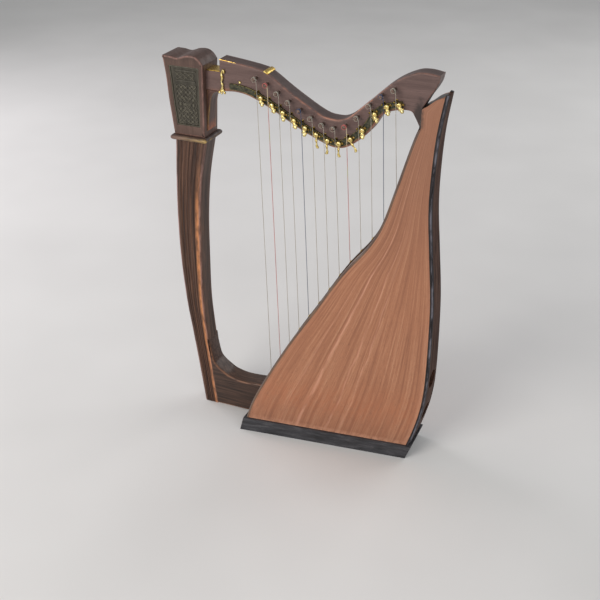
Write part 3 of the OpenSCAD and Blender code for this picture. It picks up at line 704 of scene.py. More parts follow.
# ---------------------------------------------------------------- pillar, collar, head
def pillar():
    shape = Shape()
    zs = [487 * k / 76 - RISE for k in range(77)]
    stations = [(Vector((look(pillar_left, z, 1), z)), Vector((look(pillar_right, z, 1), z))) for z in zs]

    # Painted light: an orange lit band near the right of the near face, weaker on the far face, fading out towards 440
    # mm.
    def warm_tint_and_light(p, f, y):
        lit = min(1, max(0, 1.3 - abs(f - 0.88) / 0.1)) * (1 if y < 0 else 0.4)
        return lit * min(1, max(0, (440 - p[1]) / 120))

    # A painted rim highlight: the pale strip along the near face's left edge; other edges get rubbing, weaker on the
    # right half and the far face.
    def wear_and_highlight(p, f, y, edge):
        if f > 0.5:
            return edge * 0.5
        return max(edge, min(1, max(0, (0.07 - f) / 0.05))) if y < 0 else edge * 0.7

    # The side walls are darkened as painted shade, the +X wall fully.
    bar(shape, stations, PILLAR_HALF, 3.2, wear_and_highlight=wear_and_highlight, stain_and_shade=(0.3, 1), warm_tint_and_light=warm_tint_and_light, nominal=36,
        grooves=(0.16, 0.31, 0.46, 0.62, 0.78), groove_w=0.04, groove_d=1.2, face_n=64, wall_n=8)
    shape.object("pillar_fluted", PILLAR_WOOD, "pillar_wood", replaces=["pillar"])


def knee():
    """The block between pillar and soundbox, let into both."""
    let_in, overlap = 3.4, 2
    top = [p for p in curve(KNEE_TOP)
           if look(pillar_right, p[1], 1) - let_in < p[0] < look(box_front, p[1], 1) + overlap]
    left = [Vector((look(pillar_right, z, 1) - let_in, z)) for z in range(-RISE, int(top[0][1]), 8)]
    right = [Vector((look(box_front, z, 1) + overlap, z)) for z in range(int(top[-1][1]) - 4, -RISE - 1, -8)]
    shape = Shape()
    slab(shape, left + top + right, lambda z: PILLAR_HALF - 0.4, 2.6)
    shape.grain = [(p[0], p[2], p[1]) for p in shape.co]
    shape.finish = [(f[0] * (1 if p[1] < 0 else 0.5), 0.25 if p[2] < 60 else 0, 0)
                    for f, p in zip(shape.finish, shape.co)]
    shape.object("knee_carved", KNEE_WOOD, "knee_wood", replaces=["knee_block"], smooth=50)


def rounded_box_ring(x1, x2, half, r, n=5):
    out = []
    for cx, cy, start in ((x2 - r, half - r, 0), (x1 + r, half - r, 90),
                          (x1 + r, r - half, 180), (x2 - r, r - half, 270)):
        for k in range(n):
            a = math.radians(start + 90 * k / (n - 1))
            out.append((cx + r * math.cos(a), cy + r * math.sin(a)))
    return out


def collar():
    """A moulded band: a full bullnose with a small step above and below it."""
    low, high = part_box("pillar_collar")
    x1, x2, z1, z2 = low[0] / MM, high[0] / MM, low[2] / MM - RISE, high[2] / MM - RISE
    half, r = high[1] / MM, (z2 - z1) / 2
    steps = [(r + 2.6, z1, 0)]
    steps += [(r - r * math.sin(math.radians(a)), (z1 + z2) / 2 - r * math.cos(math.radians(a)),
               math.sin(math.radians(a)) ** 2) for a in range(0, 181, 15)]
    steps += [(r + 2.6, z2, 0)]
    shape = Shape()
    rings = [[(x, y, z) for x, y in rounded_box_ring(x1 + d, x2 - d, half - d, 2.4)] for d, z, _ in steps]
    # Rubbing and painted highlight strongest on the near and left sides, the right end darkened as painted shade, and a
    # painted glint on the near-right corner.
    finish = [[(w * (0.2 if p[0] > x2 - 5 else 1 if p[1] < 0 or p[0] < x1 + 8 else 0.5),
                1 if p[0] > x2 - 3 else 0.15,
                w if p[0] > x2 - 6 and p[1] < 2.5 - half else 0) for p in ring]
              for ring, (_, _, w) in zip(rings, steps)]
    shape.rings(rings, [[(p[0], p[2], p[1]) for p in ring] for ring in rings], finish)
    shape.object("collar_bullnose", COLLAR_WOOD, "collar_wood", replaces=["pillar_collar"])


def panel_edge(extra=0.0):
    zs = [PANEL_Z[0] + extra + (PANEL_Z[1] - PANEL_Z[0] - 2 * extra) * k / 16 for k in range(17)]
    left = [Vector((look(head_left, z, 1) + 7 + extra, z)) for z in zs]
    right = [Vector((look(head_right, z, 1) - 6 - extra, z)) for z in reversed(zs)]
    return left + right


def head():
    shape = Shape()
    outline = above(head_left, HEAD_Z) + head_crest[1:] + above(head_right, HEAD_Z)[::-1][1:]
    # Painted shade: darker towards the top of the crest and towards the right edge.
    slab(shape, rounded(outline, 2.5), head_half, 2.2, panel_edge(), 3.2, wear_and_highlight=1,
         stain_and_shade=lambda p: max(0, min(1, (p[1] - 588) / 8)) if p[0] < -160 else max(0, min(1, (p[0] + 162) / 7)))
    shape.object("head_frame", HEAD_WOOD, "head_wood", replaces=["pillar_head"], smooth=30)


def triangle_wave(t):
    return math.asin(0.97 * math.sin(t)) / math.asin(0.97)


def interlace(cols, rows, w, h, phase, n):
    """One closed strand that weaves to and fro in a w by h field, with (u, v, lift): lift is 1 where it
    passes over itself and -1 where it passes under, turn and turn about."""
    pts = [Vector((w / 2 * triangle_wave(rows * t + phase), h / 2 * triangle_wave(cols * t)))
           for t in [2 * math.pi * k / n for k in range(n)]]
    hits = []
    cells = {}
    size = max((pts[i] - pts[i - 1]).length for i in range(n)) * 1.01
    for i, p in enumerate(pts):
        cells.setdefault((int(p[0] // size), int(p[1] // size)), []).append(i)
    for (cx, cy), members in cells.items():
        around = [j for dx in (-1, 0, 1) for dy in (-1, 0, 1) for j in cells.get((cx + dx, cy + dy), ())]
        for i in members:
            for j in around:
                if j <= i + 2 or j - i > n - 3:
                    continue
                a, b, c, d = pts[i], pts[(i + 1) % n], pts[j], pts[(j + 1) % n]
                r, s, q = b - a, d - c, c - a
                cross = r[0] * s[1] - r[1] * s[0]
                if abs(cross) < 1e-9:
                    continue
                t, u = (q[0] * s[1] - q[1] * s[0]) / cross, (q[0] * r[1] - q[1] * r[0]) / cross
                if 0 <= t < 1 and 0 <= u < 1:
                    hits += [i + t, j + u]
    hits.sort()
    out = []
    for i, p in enumerate(pts):
        k = sum(1 for h_ in hits if h_ <= i)
        a = hits[k - 1] - (n if k == 0 else 0)
        b = hits[k % len(hits)] + (n if k == len(hits) else 0)
        out.append((p[0], p[1], (1 if k % 2 else -1) * math.cos(math.pi * (i - a) / max(b - a, 1e-6))))
    return out


def ribbon(shape, strand, to_panel, width, high, lift):
    """A rounded ribbon along a closed strand. It stands high above the ground and weaves by lift."""
    n = len(strand)
    rings, finish = [], []
    section = [(-1, 0), (-0.92, 0.55), (-0.62, 0.9), (0, 1), (0.62, 0.9), (0.92, 0.55), (1, 0)]
    for i, (u, v, up) in enumerate(strand):
        ahead, back = strand[(i + 1) % n], strand[i - 1]
        side = left_of(Vector((ahead[0] - back[0], ahead[1] - back[1])))
        level = high + lift * up
        reach = [side[0] * width / 2, side[1] * width / 2]
        ring = [to_panel(u + reach[0] * a, v + reach[1] * a, b * level) for a, b in section]
        rings.append(ring)
        # Paler on the tops where the strand passes over; painted shade down the ribbon's sides into the ground, deeper
        # where it passes under.
        finish.append([(max(0, up) * b * b * 0.8, 1 - b * (0.75 + 0.25 * up), 0) for a, b in section])
    count = len(section)
    faces = []
    for i in range(n):
        a, b = i * count, (i + 1) % n * count
        faces += [(a + k, a + k + 1, b + k + 1, b + k) for k in range(count - 1)]
        faces.append((a + count - 1, a, b, b + count - 1))
    points = [p for r in rings for p in r]
    shape.add(points, faces, None, [f for r in finish for f in r])


def knot_panel(side, name, node):
    """A ground plate with a border fillet, two bars, a small knot between them and a large interlace below."""
    shape = Shape()
    floor, top = 2.9, 0.5

    def to_panel(u, v, up):
        z = 537 + v
        x = (look(head_left, z, 1) + look(head_right, z, 1)) / 2 + 0.5 + u * (1 + v / 900)
        return (x, side * (head_half(z) - floor + up), z)

    plate = clockwise(panel_edge(0.85))
    levels = [(0, 3.1), (0, 0.9), (0.4, top), (1.5, top), (1.9, 1.0), (2.0, 2.3), (2.2, 2.35)]
    shade = [(0, 0.6, 0), (0.2, 0.3, 0), (0.5, 0, 0), (0.5, 0, 0), (0.1, 0.6, 0), (0, 1, 0), (0, 0.9, 0)]
    rings = [[(p[0], side * (head_half(p[1]) - deep), p[1]) for p in inset(plate, d)] for d, deep in levels]
    shape.rings(rings, None, [[s] * len(plate) for s in shade])
    high = floor - 2.35
    strand = interlace(5, 9, 33.5, 61, 0.3, 1200)
    ribbon(shape, [(u, v - 12.5, k) for u, v, k in strand], to_panel, 2.3, high + 1.05, 0.4)
    small = interlace(7, 3, 29, 10, 0.4, 600)
    ribbon(shape, [(u, v + 31.5, k) for u, v, k in small], to_panel, 1.4, high + 0.95, 0.35)
    for v, half_w in ((23.8, 16.5), (39.2, 17.5)):
        bar_line = [(half_w * math.cos(a) ** 3 if abs(math.cos(a)) < 0.99 else half_w * math.copysign(1, math.cos(a)),
                     v + 0.5 * math.sin(a), 0) for a in [2 * math.pi * k / 48 for k in range(48)]]
        ribbon(shape, bar_line, to_panel, 2.4, high + 1.35, 0)
    centre = to_panel(0, -12.5, 0)
    for radius, width in ((11.5, 2.0), (6.0, 1.7)):
        ring = [(radius * math.cos(a), -12.5 + radius * math.sin(a), math.cos(6 * a)) for a in
                [2 * math.pi * k / 96 for k in range(96)]]
        ribbon(shape, ring, to_panel, width, high + 1.25, 0.3)
    shape.add(*ball((centre[0], side * (head_half(centre[2]) - 1.6), centre[2]), (2.2, 1.0, 2.2), 8, 14))
    shape.object(name, PANEL_WOOD, "carved_panel", replaces=[node], smooth=50)


# ---------------------------------------------------------------- neck
LOW_KEYS = [0, 1, 2, 3, 4, 5, 6, 7, 8, 9, 10, 11, 12, 13, 14, 15, 16, 17, 17.9]
TOP_KEYS = [0, 1, 2, 3.5, 4.8, 5.75, 6.3, 6.95, 7.5, 8.27,
            8.9, 9.75, 10.2, 10.5, 10.75, 11.1, 11.45, 11.75, 11.95]


def neck_stations(per_key=6):
    """Pairs of points on the lower and upper edge. The lower path goes on up the joint and the nose."""
    low = curve(NECK_LOW) + curve([(179, 536), (180, 550), (181.5, 564)], 4)[1:] + neck_nose[::-1][1:]
    out = []
    for (a, b), (c, d) in zip(zip(LOW_KEYS, LOW_KEYS[1:]), zip(TOP_KEYS, TOP_KEYS[1:])):
        for k in range(per_key):
            t = k / per_key
            out.append((on(low, a + (b - a) * t), on(neck_top, c + (d - c) * t)))
    return out + [(on(low, LOW_KEYS[-1]), on(neck_top, TOP_KEYS[-1]))]


def neck():
    shape = Shape()

    def warm_tint_and_light(p, f, y):
        return max(0, min(1, (0.14 - f) / 0.05)) * 0.75 if p[0] < 150 else 0

    # Rubbing and a painted lit line along the upper edge, strongest round x = 62 and half as strong on the far face;
    # the lower edge gets a little rubbing.
    def wear_and_highlight(p, f, y, edge):
        if f < 0.5:
            return edge * 0.35
        dip = 0.4 + 0.6 * math.exp(-(((p[0] - 62) / 55) ** 2))
        return edge * dip * (1 if y < 0 else 0.5)

    # The top face is darkened as painted shade, the underside a little.
    bar(shape, neck_stations(), NECK_HALF, 2.2, wear_and_highlight=wear_and_highlight, stain_and_shade=(0.15, 1), warm_tint_and_light=warm_tint_and_light, straight=True,
        face_n=16, wall_n=6)
    tongue = [(Vector((x, 549)), Vector((x, 579))) for x in (-155.5, -150, -144, -138, -130)]
    bar(shape, tongue, NECK_HALF - 0.01, 1.6, wear_and_highlight=lambda p, f, y, edge: edge * 0.5, stain_and_shade=(0.3, 0.8), straight=True,
        face_n=6)
    shape.object("neck_carved", NECK_WOOD, "neck_wood", replaces=["neck"], smooth=50)


def bracket():
    low = curve(BRACKET_LOW)
    shape = Shape()
    wall = [Vector((look(head_right, z, 1) - 0.4, z)) for z in [484 + 64.9 * k / 24 for k in range(25)]]
    stations = list(zip(resample(low[::-1], 24), wall))

    def warm_tint_and_light(p, f, y):
        return max(0, 1 - (p[1] - 484) / 16)

    # The cove's underside wall is darkened as painted shade; the rounded edges take rubbing and a painted highlight.
    bar(shape, stations, NECK_HALF - 0.02, 1.8, stain_and_shade=(1, 0), warm_tint_and_light=warm_tint_and_light, face_n=6, wall_n=6)
    shape.object("bracket_cove", BRACKET_WOOD, "bracket_wood", replaces=["neck_bracket"], smooth=50)


def neck_metal():
    """The plate on the tongue, the bar over the peak, and the upright ornament at the neck's end."""
    shape = Shape()
    ring = rounded_box_ring(-154.3, -131.2, NECK_HALF, 1.2)
    for_levels = [(0, 579), (0, 579.9), (0.35, 580.2), (1.6, 580.2)]
    rings = [[(x + (-d if x > -142 else d), y * (1 - d / NECK_HALF), z) for x, y in ring] for d, z in for_levels]
    shape.rings(rings, None, [[(0.3 * k, 0, 0)] * len(ring) for k in range(4)])
    shape.object("saddle_plate", BRASS, "brass", replaces=["neck_saddle_plate"])

    shape = Shape()
    line = [p for p in curve(NECK_TOP, 12) if p[0] < -104]
    thinning = [0.75 - 0.5 * k / len(line) for k in range(len(line))]
    tube(shape, [(p[0], -NECK_HALF + 0.5, p[1] - 0.6) for p in line], thinning, 8)
    shape.object("edge_gold", BRASS, "brass")

    shape = Shape()
    crown = look(neck_top, -56)
    way = Vector((1, (look(neck_top, -50) - look(neck_top, -62)) / 12)).normalized()
    up = left_of(way)
    arch = []
    for k in range(13):
        a = math.pi * k / 12
        arch.append((math.cos(a) * 4.2, math.sin(a) * 1.7 - 0.3))
    arch += [(-4.2, -1.2), (4.2, -1.2)]
    base = Vector((-56, crown))
    rings = []
    for y, shrink in ((-13.6, 0.7), (-13.2, 0.95), (-12.6, 1), (0, 1), (12.6, 1), (13.2, 0.95), (13.6, 0.7)):
        rings.append([(base[0] + way[0] * a * shrink + up[0] * b * shrink, y, base[1] + way[1] * a * shrink
                       + up[1] * b * shrink) for a, b in arch])
    shape.rings(rings)
    shape.object("peak_bar", BRASS, "brass", replaces=["neck_peak_cap"])

    shape = Shape()
    x, y = -127.0, -NECK_HALF - 2.0
    stem = curve([(x - 0.5, 553.5), (x + 0.7, 559), (x - 0.8, 565), (x + 0.6, 571), (x - 0.4, 576), (x + 0.5, 580.5),
                  (x + 2.6, 582.2), (x + 3.6, 580)], 6)
    tube(shape, [(p[0], y, p[1]) for p in stem], [1.7 + 0.5 * math.cos(k / 3.1) for k in range(len(stem))], 12)
    for dx, dz in ((-4.6, 548.6), (4.2, 548.4)):
        foot = curve([(x, 556), (x + dx * 0.45, 552.5), (x + dx, dz)], 6)
        tube(shape, [(p[0], y, p[1]) for p in foot], [1.7 - 0.035 * k for k in range(len(foot))], 10)
        shape.add(*ball((x + dx, y, dz), (2.0, 1.7, 2.0)))
    for place_, size in (((x - 0.2, 550.6), 2.2), ((x + 0.4, 561.5), 2.3), ((x - 0.2, 572.5), 2.1), ((x + 3.6, 579.4), 1.8),
                         ((x - 0.8, 547.2), 1.5)):
        shape.add(*ball((place_[0], y, place_[1]), (size, min(size, 1.9), size)))
    for z in (554, 574):
        tube(shape, [(x, y, z), (x, -NECK_HALF + 1.5, z)], 1.1, 10)
    ornament = bpy.data.objects.new("neck_ornament", cast(shape, "neck_ornament", 0.3, lift=RISE))
    place(ornament, LEVER_BRASS, "brass",
          replaces=["neck_end_ornament"])

    shape = Shape()
    lathe(shape, [(-12.5, 1.4), (-13.4, 1.5), (-13.9, 2.1), (-14.5, 2.0), (-15.1, 1.3), (-15.3, 0.4)], (-98, 567), 14)
    shape.object("neck_stud", LEVER_BRASS, "brass")


# ---------------------------------------------------------------- string band places, as in the CAD
STRINGS = 13
low4, top4, front4 = curve(NECK_LOW, 4), curve(NECK_TOP, 4), curve(BOX_FRONT, 4)
rail_top4, rail_middle4 = beside(low4, 13.0), beside(low4, 8.45)
STRING_Y = -23.5


def slope(path, x):
    return (look(path, x + 1) - look(path, x - 1)) / 2


def at_x(path, x, d):
    return Vector((x, look(path, x) + d * math.hypot(1, slope(path, x))))


def neck_x(i):
    return -66 + 212 * i / (STRINGS - 1)


def board_x(i):
    return -61 + 207 * i / (STRINGS - 1)


def bridge_at(i):
    return at_x(rail_top4, neck_x(i) - 1.95, 1.6)


def lever_at(i):
    x = neck_x(i) + 3
    return Vector((x, look(rail_middle4, x)))


def pin_at(i):
    x = neck_x(i) - 4.5
    low = bridge_at(i)[1]
    return Vector((x, low + 0.6 * (look(top4, x) - low)))


def mouth(i):
    line = beside(front4, 3.2)
    x = board_x(i)
    return Vector((x, look(line, x))), left_of(Vector((1, slope(line, x))))


LEVER_REST = [20, 30, 12, 22, 0, 8, 0, 4, 32, 10, 26, 18, 35]
RED, BLUE = (1, 8), (4, 11)


def strings():
    kinds = {"strings_nylon": (Shape(), STRING_CLEAR, "string_clear"),
             "strings_red": (Shape(), STRING_RED, "string_red"),
             "strings_blue": (Shape(), STRING_BLUE, "string_blue")}
    for i in range(STRINGS):
        kind = "strings_red" if i in RED else "strings_blue" if i in BLUE else "strings_nylon"
        pin, spot, (low, out) = pin_at(i), bridge_at(i), mouth(i)
        start = Vector((pin[0] + 3.55, STRING_Y, pin[1]))
        turn = Vector((neck_x(i), STRING_Y, spot[1]))
        over = Vector((low[0], -0.25, low[1] + 1.2))
        end = Vector((low[0] - 11.4 * out[0], 0, low[1] - 11.4 * out[1]))
        path = [start.lerp(turn, k / 6) for k in range(6)]
        path += [turn.lerp(over, k / 40) for k in range(40)]
        path += [over, Vector((low[0] - 0.5 * out[0], 0, low[1] - 0.5 * out[1])), end]

        def finish(p, top=turn[2]):
            pale = max(0, min(1, (p[2] - top + 22) / 14))
            green = max(0, 1 - abs(p[2] - top + 55) / 14)
            return (pale, 0, green if i in RED else 0)

        tube(kinds[kind][0], path, 0.45, 8, finish=finish if i in RED else None)
    for node, (shape, material, slot) in kinds.items():
        shape.object("smooth_" + node, material, slot, replaces=[node])


def windings_and_pins():
    for i in range(STRINGS):
        x, z = pin_at(i)
        body = f"tuning_pin_{i + 1:02d}"
        kind = STRING_CLEAR, "string_clear"
        if i in RED:
            kind = STRING_RED, "string_red"
        elif i in BLUE:
            kind = STRING_BLUE, "string_blue"
        coil = Shape()
        turns = 3.5
        path = [(x + 3.35 * math.cos(a), STRING_Y - 1.6 + 0.9 * a / (2 * math.pi), z + 3.35 * math.sin(a))
                for a in [2 * math.pi * k / 18 for k in range(int(18 * turns) + 1)]]
        tube(coil, path, 0.45, 6)
        coil.object(f"winding_{i + 1:02d}", kind[0], kind[1], body)
        shape = Shape()
        profile = [(-26.3, 0.6), (-26.25, 1.5), (-25.9, 2.0), (-25.5, 2.1), (-25.45, 2.75), (-25.2, 2.9), (-24.9, 2.85),
                   (-22.1, 2.85), (-21.8, 2.9), (-21.55, 2.75), (-21.5, 2.1), (12.6, 2.1), (14.6, 2.1), (15.6, 1.8)]
        lathe(shape, profile, (x, z), 20)
        square = [(1, 0), (1, 1), (0, 1), (-1, 1), (-1, 0), (-1, -1), (0, -1), (1, -1)]
        rings = []
        for y, size in ((13.5, 1.3), (14.5, 1.47), (22.0, 1.4), (22.7, 1.25), (23, 0.9)):
            rings.append([(x + size * a, y, z + size * b) for a, b in square])
        shape.rings(rings)
        shape.object(f"tuning_peg_{i + 1:02d}", PIN_METAL, "pin_metal", body, replaces=[body], smooth=35)
    bushes = Shape()
    for i in range(STRINGS):
        for side in (-1, 1):
            face = side * NECK_HALF
            lathe(bushes, [(face - side * 0.6, 2.25), (face + side * 0.15, 2.3), (face + side * 0.35, 2.7),
                           (face + side * 0.3, 3.2), (face + side * 0.1, 3.5), (face - side * 0.6, 3.5)], pin_at(i), 20)
    bushes.object("pin_bushes", BUSH, "knee_wood")


BUSH = wood("bush_wood", (78, 60, 55), (100, 80, 74), (116, 94, 88), streak=2, coat=0.2)


# ---------------------------------------------------------------- rail, bridge pins, brackets, levers
def rail():
    shape = Shape()
    line = [p for p in curve(NECK_LOW, 10) if -115 < p[0] < 156]
    stations = list(zip(beside(line, 3.5), beside(line, 13.0)))
    section = [(0, 12.6), (0, 14.9), (0.12, 15.3), (0.35, 15.45), (0.6, 15.3), (0.75, 15.0), (8.75, 15.0),
               (8.9, 15.3), (9.15, 15.45), (9.38, 15.3), (9.5, 14.9), (9.5, 12.6)]
    rings, grains, finish = [], [], []
    along = 0
    for i, (a, b) in enumerate(stations):
        along += (a - stations[i - 1][0]).length if i else 0
        u = (b - a).normalized()
        rings.append([(a[0] + u[0] * s, -y, a[1] + u[1] * s) for s, y in section])
        grains.append([(along, s, y) for s, y in section])
        finish.append([(1 if y > 15.1 else 0.1, 0, 0) for s, y in section])
    shape.rings(rings, grains, finish)
    shape.object("rail_lipped", PATINA, "patinated_metal", replaces=["lever_rail"], smooth=35)


def along_rail(i):
    """The frame of lever i's bracket: its place, and its turn along the rail."""
    p = lever_at(i)
    return p, math.atan(slope(low4, p[0]))


def brackets_and_screws():
    plates, screws, pins = Shape(), Shape(), Shape()
    for i in range(STRINGS):
        p, turn = along_rail(i)
        c, s = math.cos(turn), math.sin(turn)

        def put(u, v):
            return (p[0] + c * u - s * v, p[1] + s * u + c * v)

        outline = []
        for k in range(48):
            a = 2 * math.pi * k / 48
            reach = 4.2
            if abs(math.sin(a)) * 7 < 2.2 and abs(math.cos(a)) > 0.5:
                reach = min(7.0, 2.2 / max(abs(math.sin(a)), 0.01)) if abs(math.sin(a)) * 7 > 1.6 else 7.0
            outline.append((reach * math.cos(a), max(-4.2, min(4.2, reach * math.sin(a)))))
        rings = [[(put(u * k, v * k)[0], -y, put(u * k, v * k)[1]) for u, v in outline]
                 for y, k in ((14.9, 1), (15.7, 1), (15.95, 0.96), (16.0, 0.88))]
        plates.rings(rings, None, [[(0, 0, 0)] * 48] * 4)
        for u in (-5.6, 5.6):
            x, z = put(u, 0)
            lathe(screws, [(-15.8, 1.4), (-16.3, 1.4), (-16.6, 1.05), (-16.62, 0.2)], (x, z), 14)
            a = turn + 0.9 * i + u
            dx, dz = math.cos(a), math.sin(a)
            corners = ((-1.15, -0.16), (1.15, -0.16), (1.15, 0.16), (-1.15, 0.16))
            cut = [(x + dx * l - dz * w, z + dz * l + dx * w) for l, w in corners]
            screws.rings([[(q[0], y, q[1]) for q in cut] for y in (-16.3, -16.66)], None,
                         [[(0, 1, 0)] * 4] * 2)
        x, z = bridge_at(i)
        lathe(pins, [(-7.2, 1.3), (-22.6, 1.3), (-22.9, 1.05), (-23.5, 0.95), (-24.1, 1.05), (-24.4, 1.35), (-24.8, 1.3),
                     (-25.0, 0.8)], (x, z), 16)
        lathe(pins, [(-12.9, 1.9), (-13.5, 1.9), (-13.8, 1.5), (-13.85, 1.2)], (x, z), 16)
    plates.object("bracket_plates", AGED_BRASS, "aged_brass", replaces=["lever_brackets"], smooth=35)
    screws.object("slotted_screws", SCREW, "brass", replaces=["bracket_screws"], smooth=35)
    pins.object("grooved_bridge_pins", AGED_BRASS, "aged_brass", replaces=["bridge_pins"], smooth=35)


SCREW = metal("screw_brass", (90, 70, 34), (170, 140, 74), (214, 188, 116), rough=(0.3, 0.5))


def lever_mesh(name, reach, style):
    """A cast lever about its pivot, hanging down: a domed hub, an arm, a thumb knob and small wings."""
    shape = Shape()
    back = -16.45
    lathe(shape, [(back, 3.9), (back - 1.5, 4.1), (back - 2.6, 3.7), (back - 3.3, 2.6), (back - 3.6, 1.0)],
          (0, 0), 24)
    arm = curve([(0.0, 0.0), (0.5 * style, -reach * 0.35), (-0.3 * style, -reach * 0.7), (0.2, -reach)], 6)
    thick = [2.1 - 0.5 * math.sin(math.pi * k / (len(arm) - 1)) for k in range(len(arm))]
    if reach > 12:
        # A long lever swings past the next string, so that it stays slim and close to the neck.
        tube(shape, [(p[0], -18.3, p[1]) for p in arm], [0.75 * t for t in thick], 12)
        shape.add(*ball((0.1, -18.3, -reach), (2.3, 1.5, 2.3)))
        shape.add(*ball((-0.2, -18.4, -reach * 0.45), (2.1, 1.4, 2.8)))
        shape.add(*ball((1.2 * style, -18.4, -reach - 0.9), (1.5, 1.2, 1.4)))
        shape.add(*ball((-1.5 * style, -18.4, -reach + 2.4), (1.3, 1.2, 1.4)))
    else:
        tube(shape, [(p[0], -18.9, p[1]) for p in arm], thick, 12)
        shape.add(*ball((0.1, -19.3, -reach), (2.9, 2.4, 2.9)))
        shape.add(*ball((0.3 * style, -19.2, -reach * 0.52), (3.1, 2.1, 3.0)))
        shape.add(*ball((3.0, -19.0, -reach + 2.2), (1.5, 1.3, 1.5)))
        shape.add(*ball((-2.9, -19.0, 2.4 - reach - style), (1.4, 1.3, 1.6)))
    tube(shape, [(0, back, 0), (0, back - 0.5, 0)], 2.6, 16)
    return cast(shape, name)


def levers():
    short, long = 9.5, 18
    meshes = {(False, 1): lever_mesh("lever_short_a", short, 1),
              (False, -1): lever_mesh("lever_short_b", short, -1),
              (True, 1): lever_mesh("lever_long_a", long, 1),
              (True, -1): lever_mesh("lever_long_b", long, -1)}
    for i in range(STRINGS):
        mesh = meshes[(5 <= i <= 8, 1 if i % 2 else -1)]
        p = lever_at(i)
        at = Matrix.Translation((p[0] * MM, 0, (p[1] + RISE) * MM))
        at = at @ Matrix.Rotation(math.radians(-LEVER_REST[i]), 4, "Y")
        body = f"lever_{i + 1:02d}"
        lever = bpy.data.objects.new(f"cast_{body}", mesh)
        place(lever, LEVER_BRASS, "lever_brass", body, [body], at)
        shaft = Shape()
        lathe(shaft, [(-8.2, 1.2), (-8.4, 1.3), (-16.9, 1.3)], (0, 0), 14)
        lathe(shaft, [(-19.6, 1.3), (-20.15, 1.3), (-20.3, 1.1), (-20.35, 0.3)], (0, 0), 14)
        shaft.object(f"pivot_{body}", SCREW, "lever_brass", body, at=at)


# ---------------------------------------------------------------- soundbox
def side_panel(side, name, node):
    """The leaning side: a grid whose lines fan from the foot to the top, so that the grain follows the box."""
    shape = Shape()
    front = (above(beside(box_front, -SIDE_T), 0) + [Vector(BOX_TOP[0])] + box_top[1:])[:-4]
    back = above(beside(box_back, BACK_T), 0)
    n = 96
    a_path, b_path = resample(front, n), resample(back, n)
    face_n = 26
    rings, grains, finish = [], [], []
    along = 0
    for i, (a, b) in enumerate(zip(a_path, b_path)):
        along += ((a + b) / 2 - (a_path[i - 1] + b_path[i - 1]) / 2).length if i else 0
        ring, grain, fin = [], [], []
        for k in range(face_n + 1):
            s = k / face_n
            p = a.lerp(b, s)
            ring.append((p[0], side * box_half(p[0], p[1]), p[1]))
            grain.append((along, s * 150, 0))
            # A pale line along the lower edge: rubbing and a painted lit line.
            low_edge = max(0, 1 - (p[1] - 4) / 5)
            edge = 0.25 if k in (0, face_n) else 0
            joint = max(0, min(1, (p[1] - 290) / 210)) * 0.7
            foot = max(0, 1 - (p[1] - 4) / 75) * 0.55
            fin.append((max(low_edge, edge), max(joint, foot), max(0, 1 - abs(p[1] - 60) / 60) * 0.35))
        for k in range(face_n, -1, -1):
            p = a.lerp(b, k / face_n)
            ring.append((p[0], side * (box_half(p[0], p[1]) - SIDE_T), p[1]))
            grain.append((along, k / face_n * 150, 8))
            fin.append((0, 0, 0))
        rings.append(ring)
        grains.append(grain)
        finish.append(fin)
    shape.rings(rings, grains, finish)
    shape.object(name, SIDE_WOOD, "side_wood", replaces=[node], smooth=35)


def soundboard():
    """The board with rounded edges, darkened by staining. Each station's half section is (in from the side, deep,
    staining share, rubbing share), followed by plain points over to the middle."""
    path = resample(above(box_front, 0), 90)
    edge = [(0, 4, 1, 0), (0, 1.5, 1, 0.2), (0.35, 0.6, 1, 0.8), (1.1, 0.1, 1, 0.8), (2, 0, 1, 0.2),
            (4, 0, 1, 0), (4.4, 0, 0, 0)]
    rings, grains, finish = [], [], []
    along = 0
    last = len(path) - 1
    for i, p in enumerate(path):
        along += (p - path[i - 1]).length if i else 0
        into = -left_of(path[min(i + 1, last)] - path[max(i - 1, 0)])
        half = box_half(p[0], p[1])
        side = [(half - a, deep, stained_and_shaded, wear_and_highlight) for a, deep, stained_and_shaded, wear_and_highlight in edge]
        side += [((half - 4.4) * share, 0, 0, 0) for share in (0.8, 0.6, 0.4, 0.2)]
        row = [(-1, *point) for point in side] + [(1, *point) for point in reversed(side)]
        ring, grain, fin = [], [], []
        for sign, y, deep, stained_and_shaded, wear_and_highlight in row:
            q = p + into * deep
            ring.append((q[0], sign * (y + box_half(q[0], q[1]) - half), q[1]))
            grain.append((along, sign * y, deep))
            fin.append((wear_and_highlight, stained_and_shaded, 0))
        rings.append(ring)
        grains.append(grain)
        finish.append(fin)
    shape = Shape()
    shape.rings(rings, grains, finish)
    shape.object("soundboard_bound", BOARD_WOOD, "soundboard_wood", replaces=["soundboard"], smooth=50)


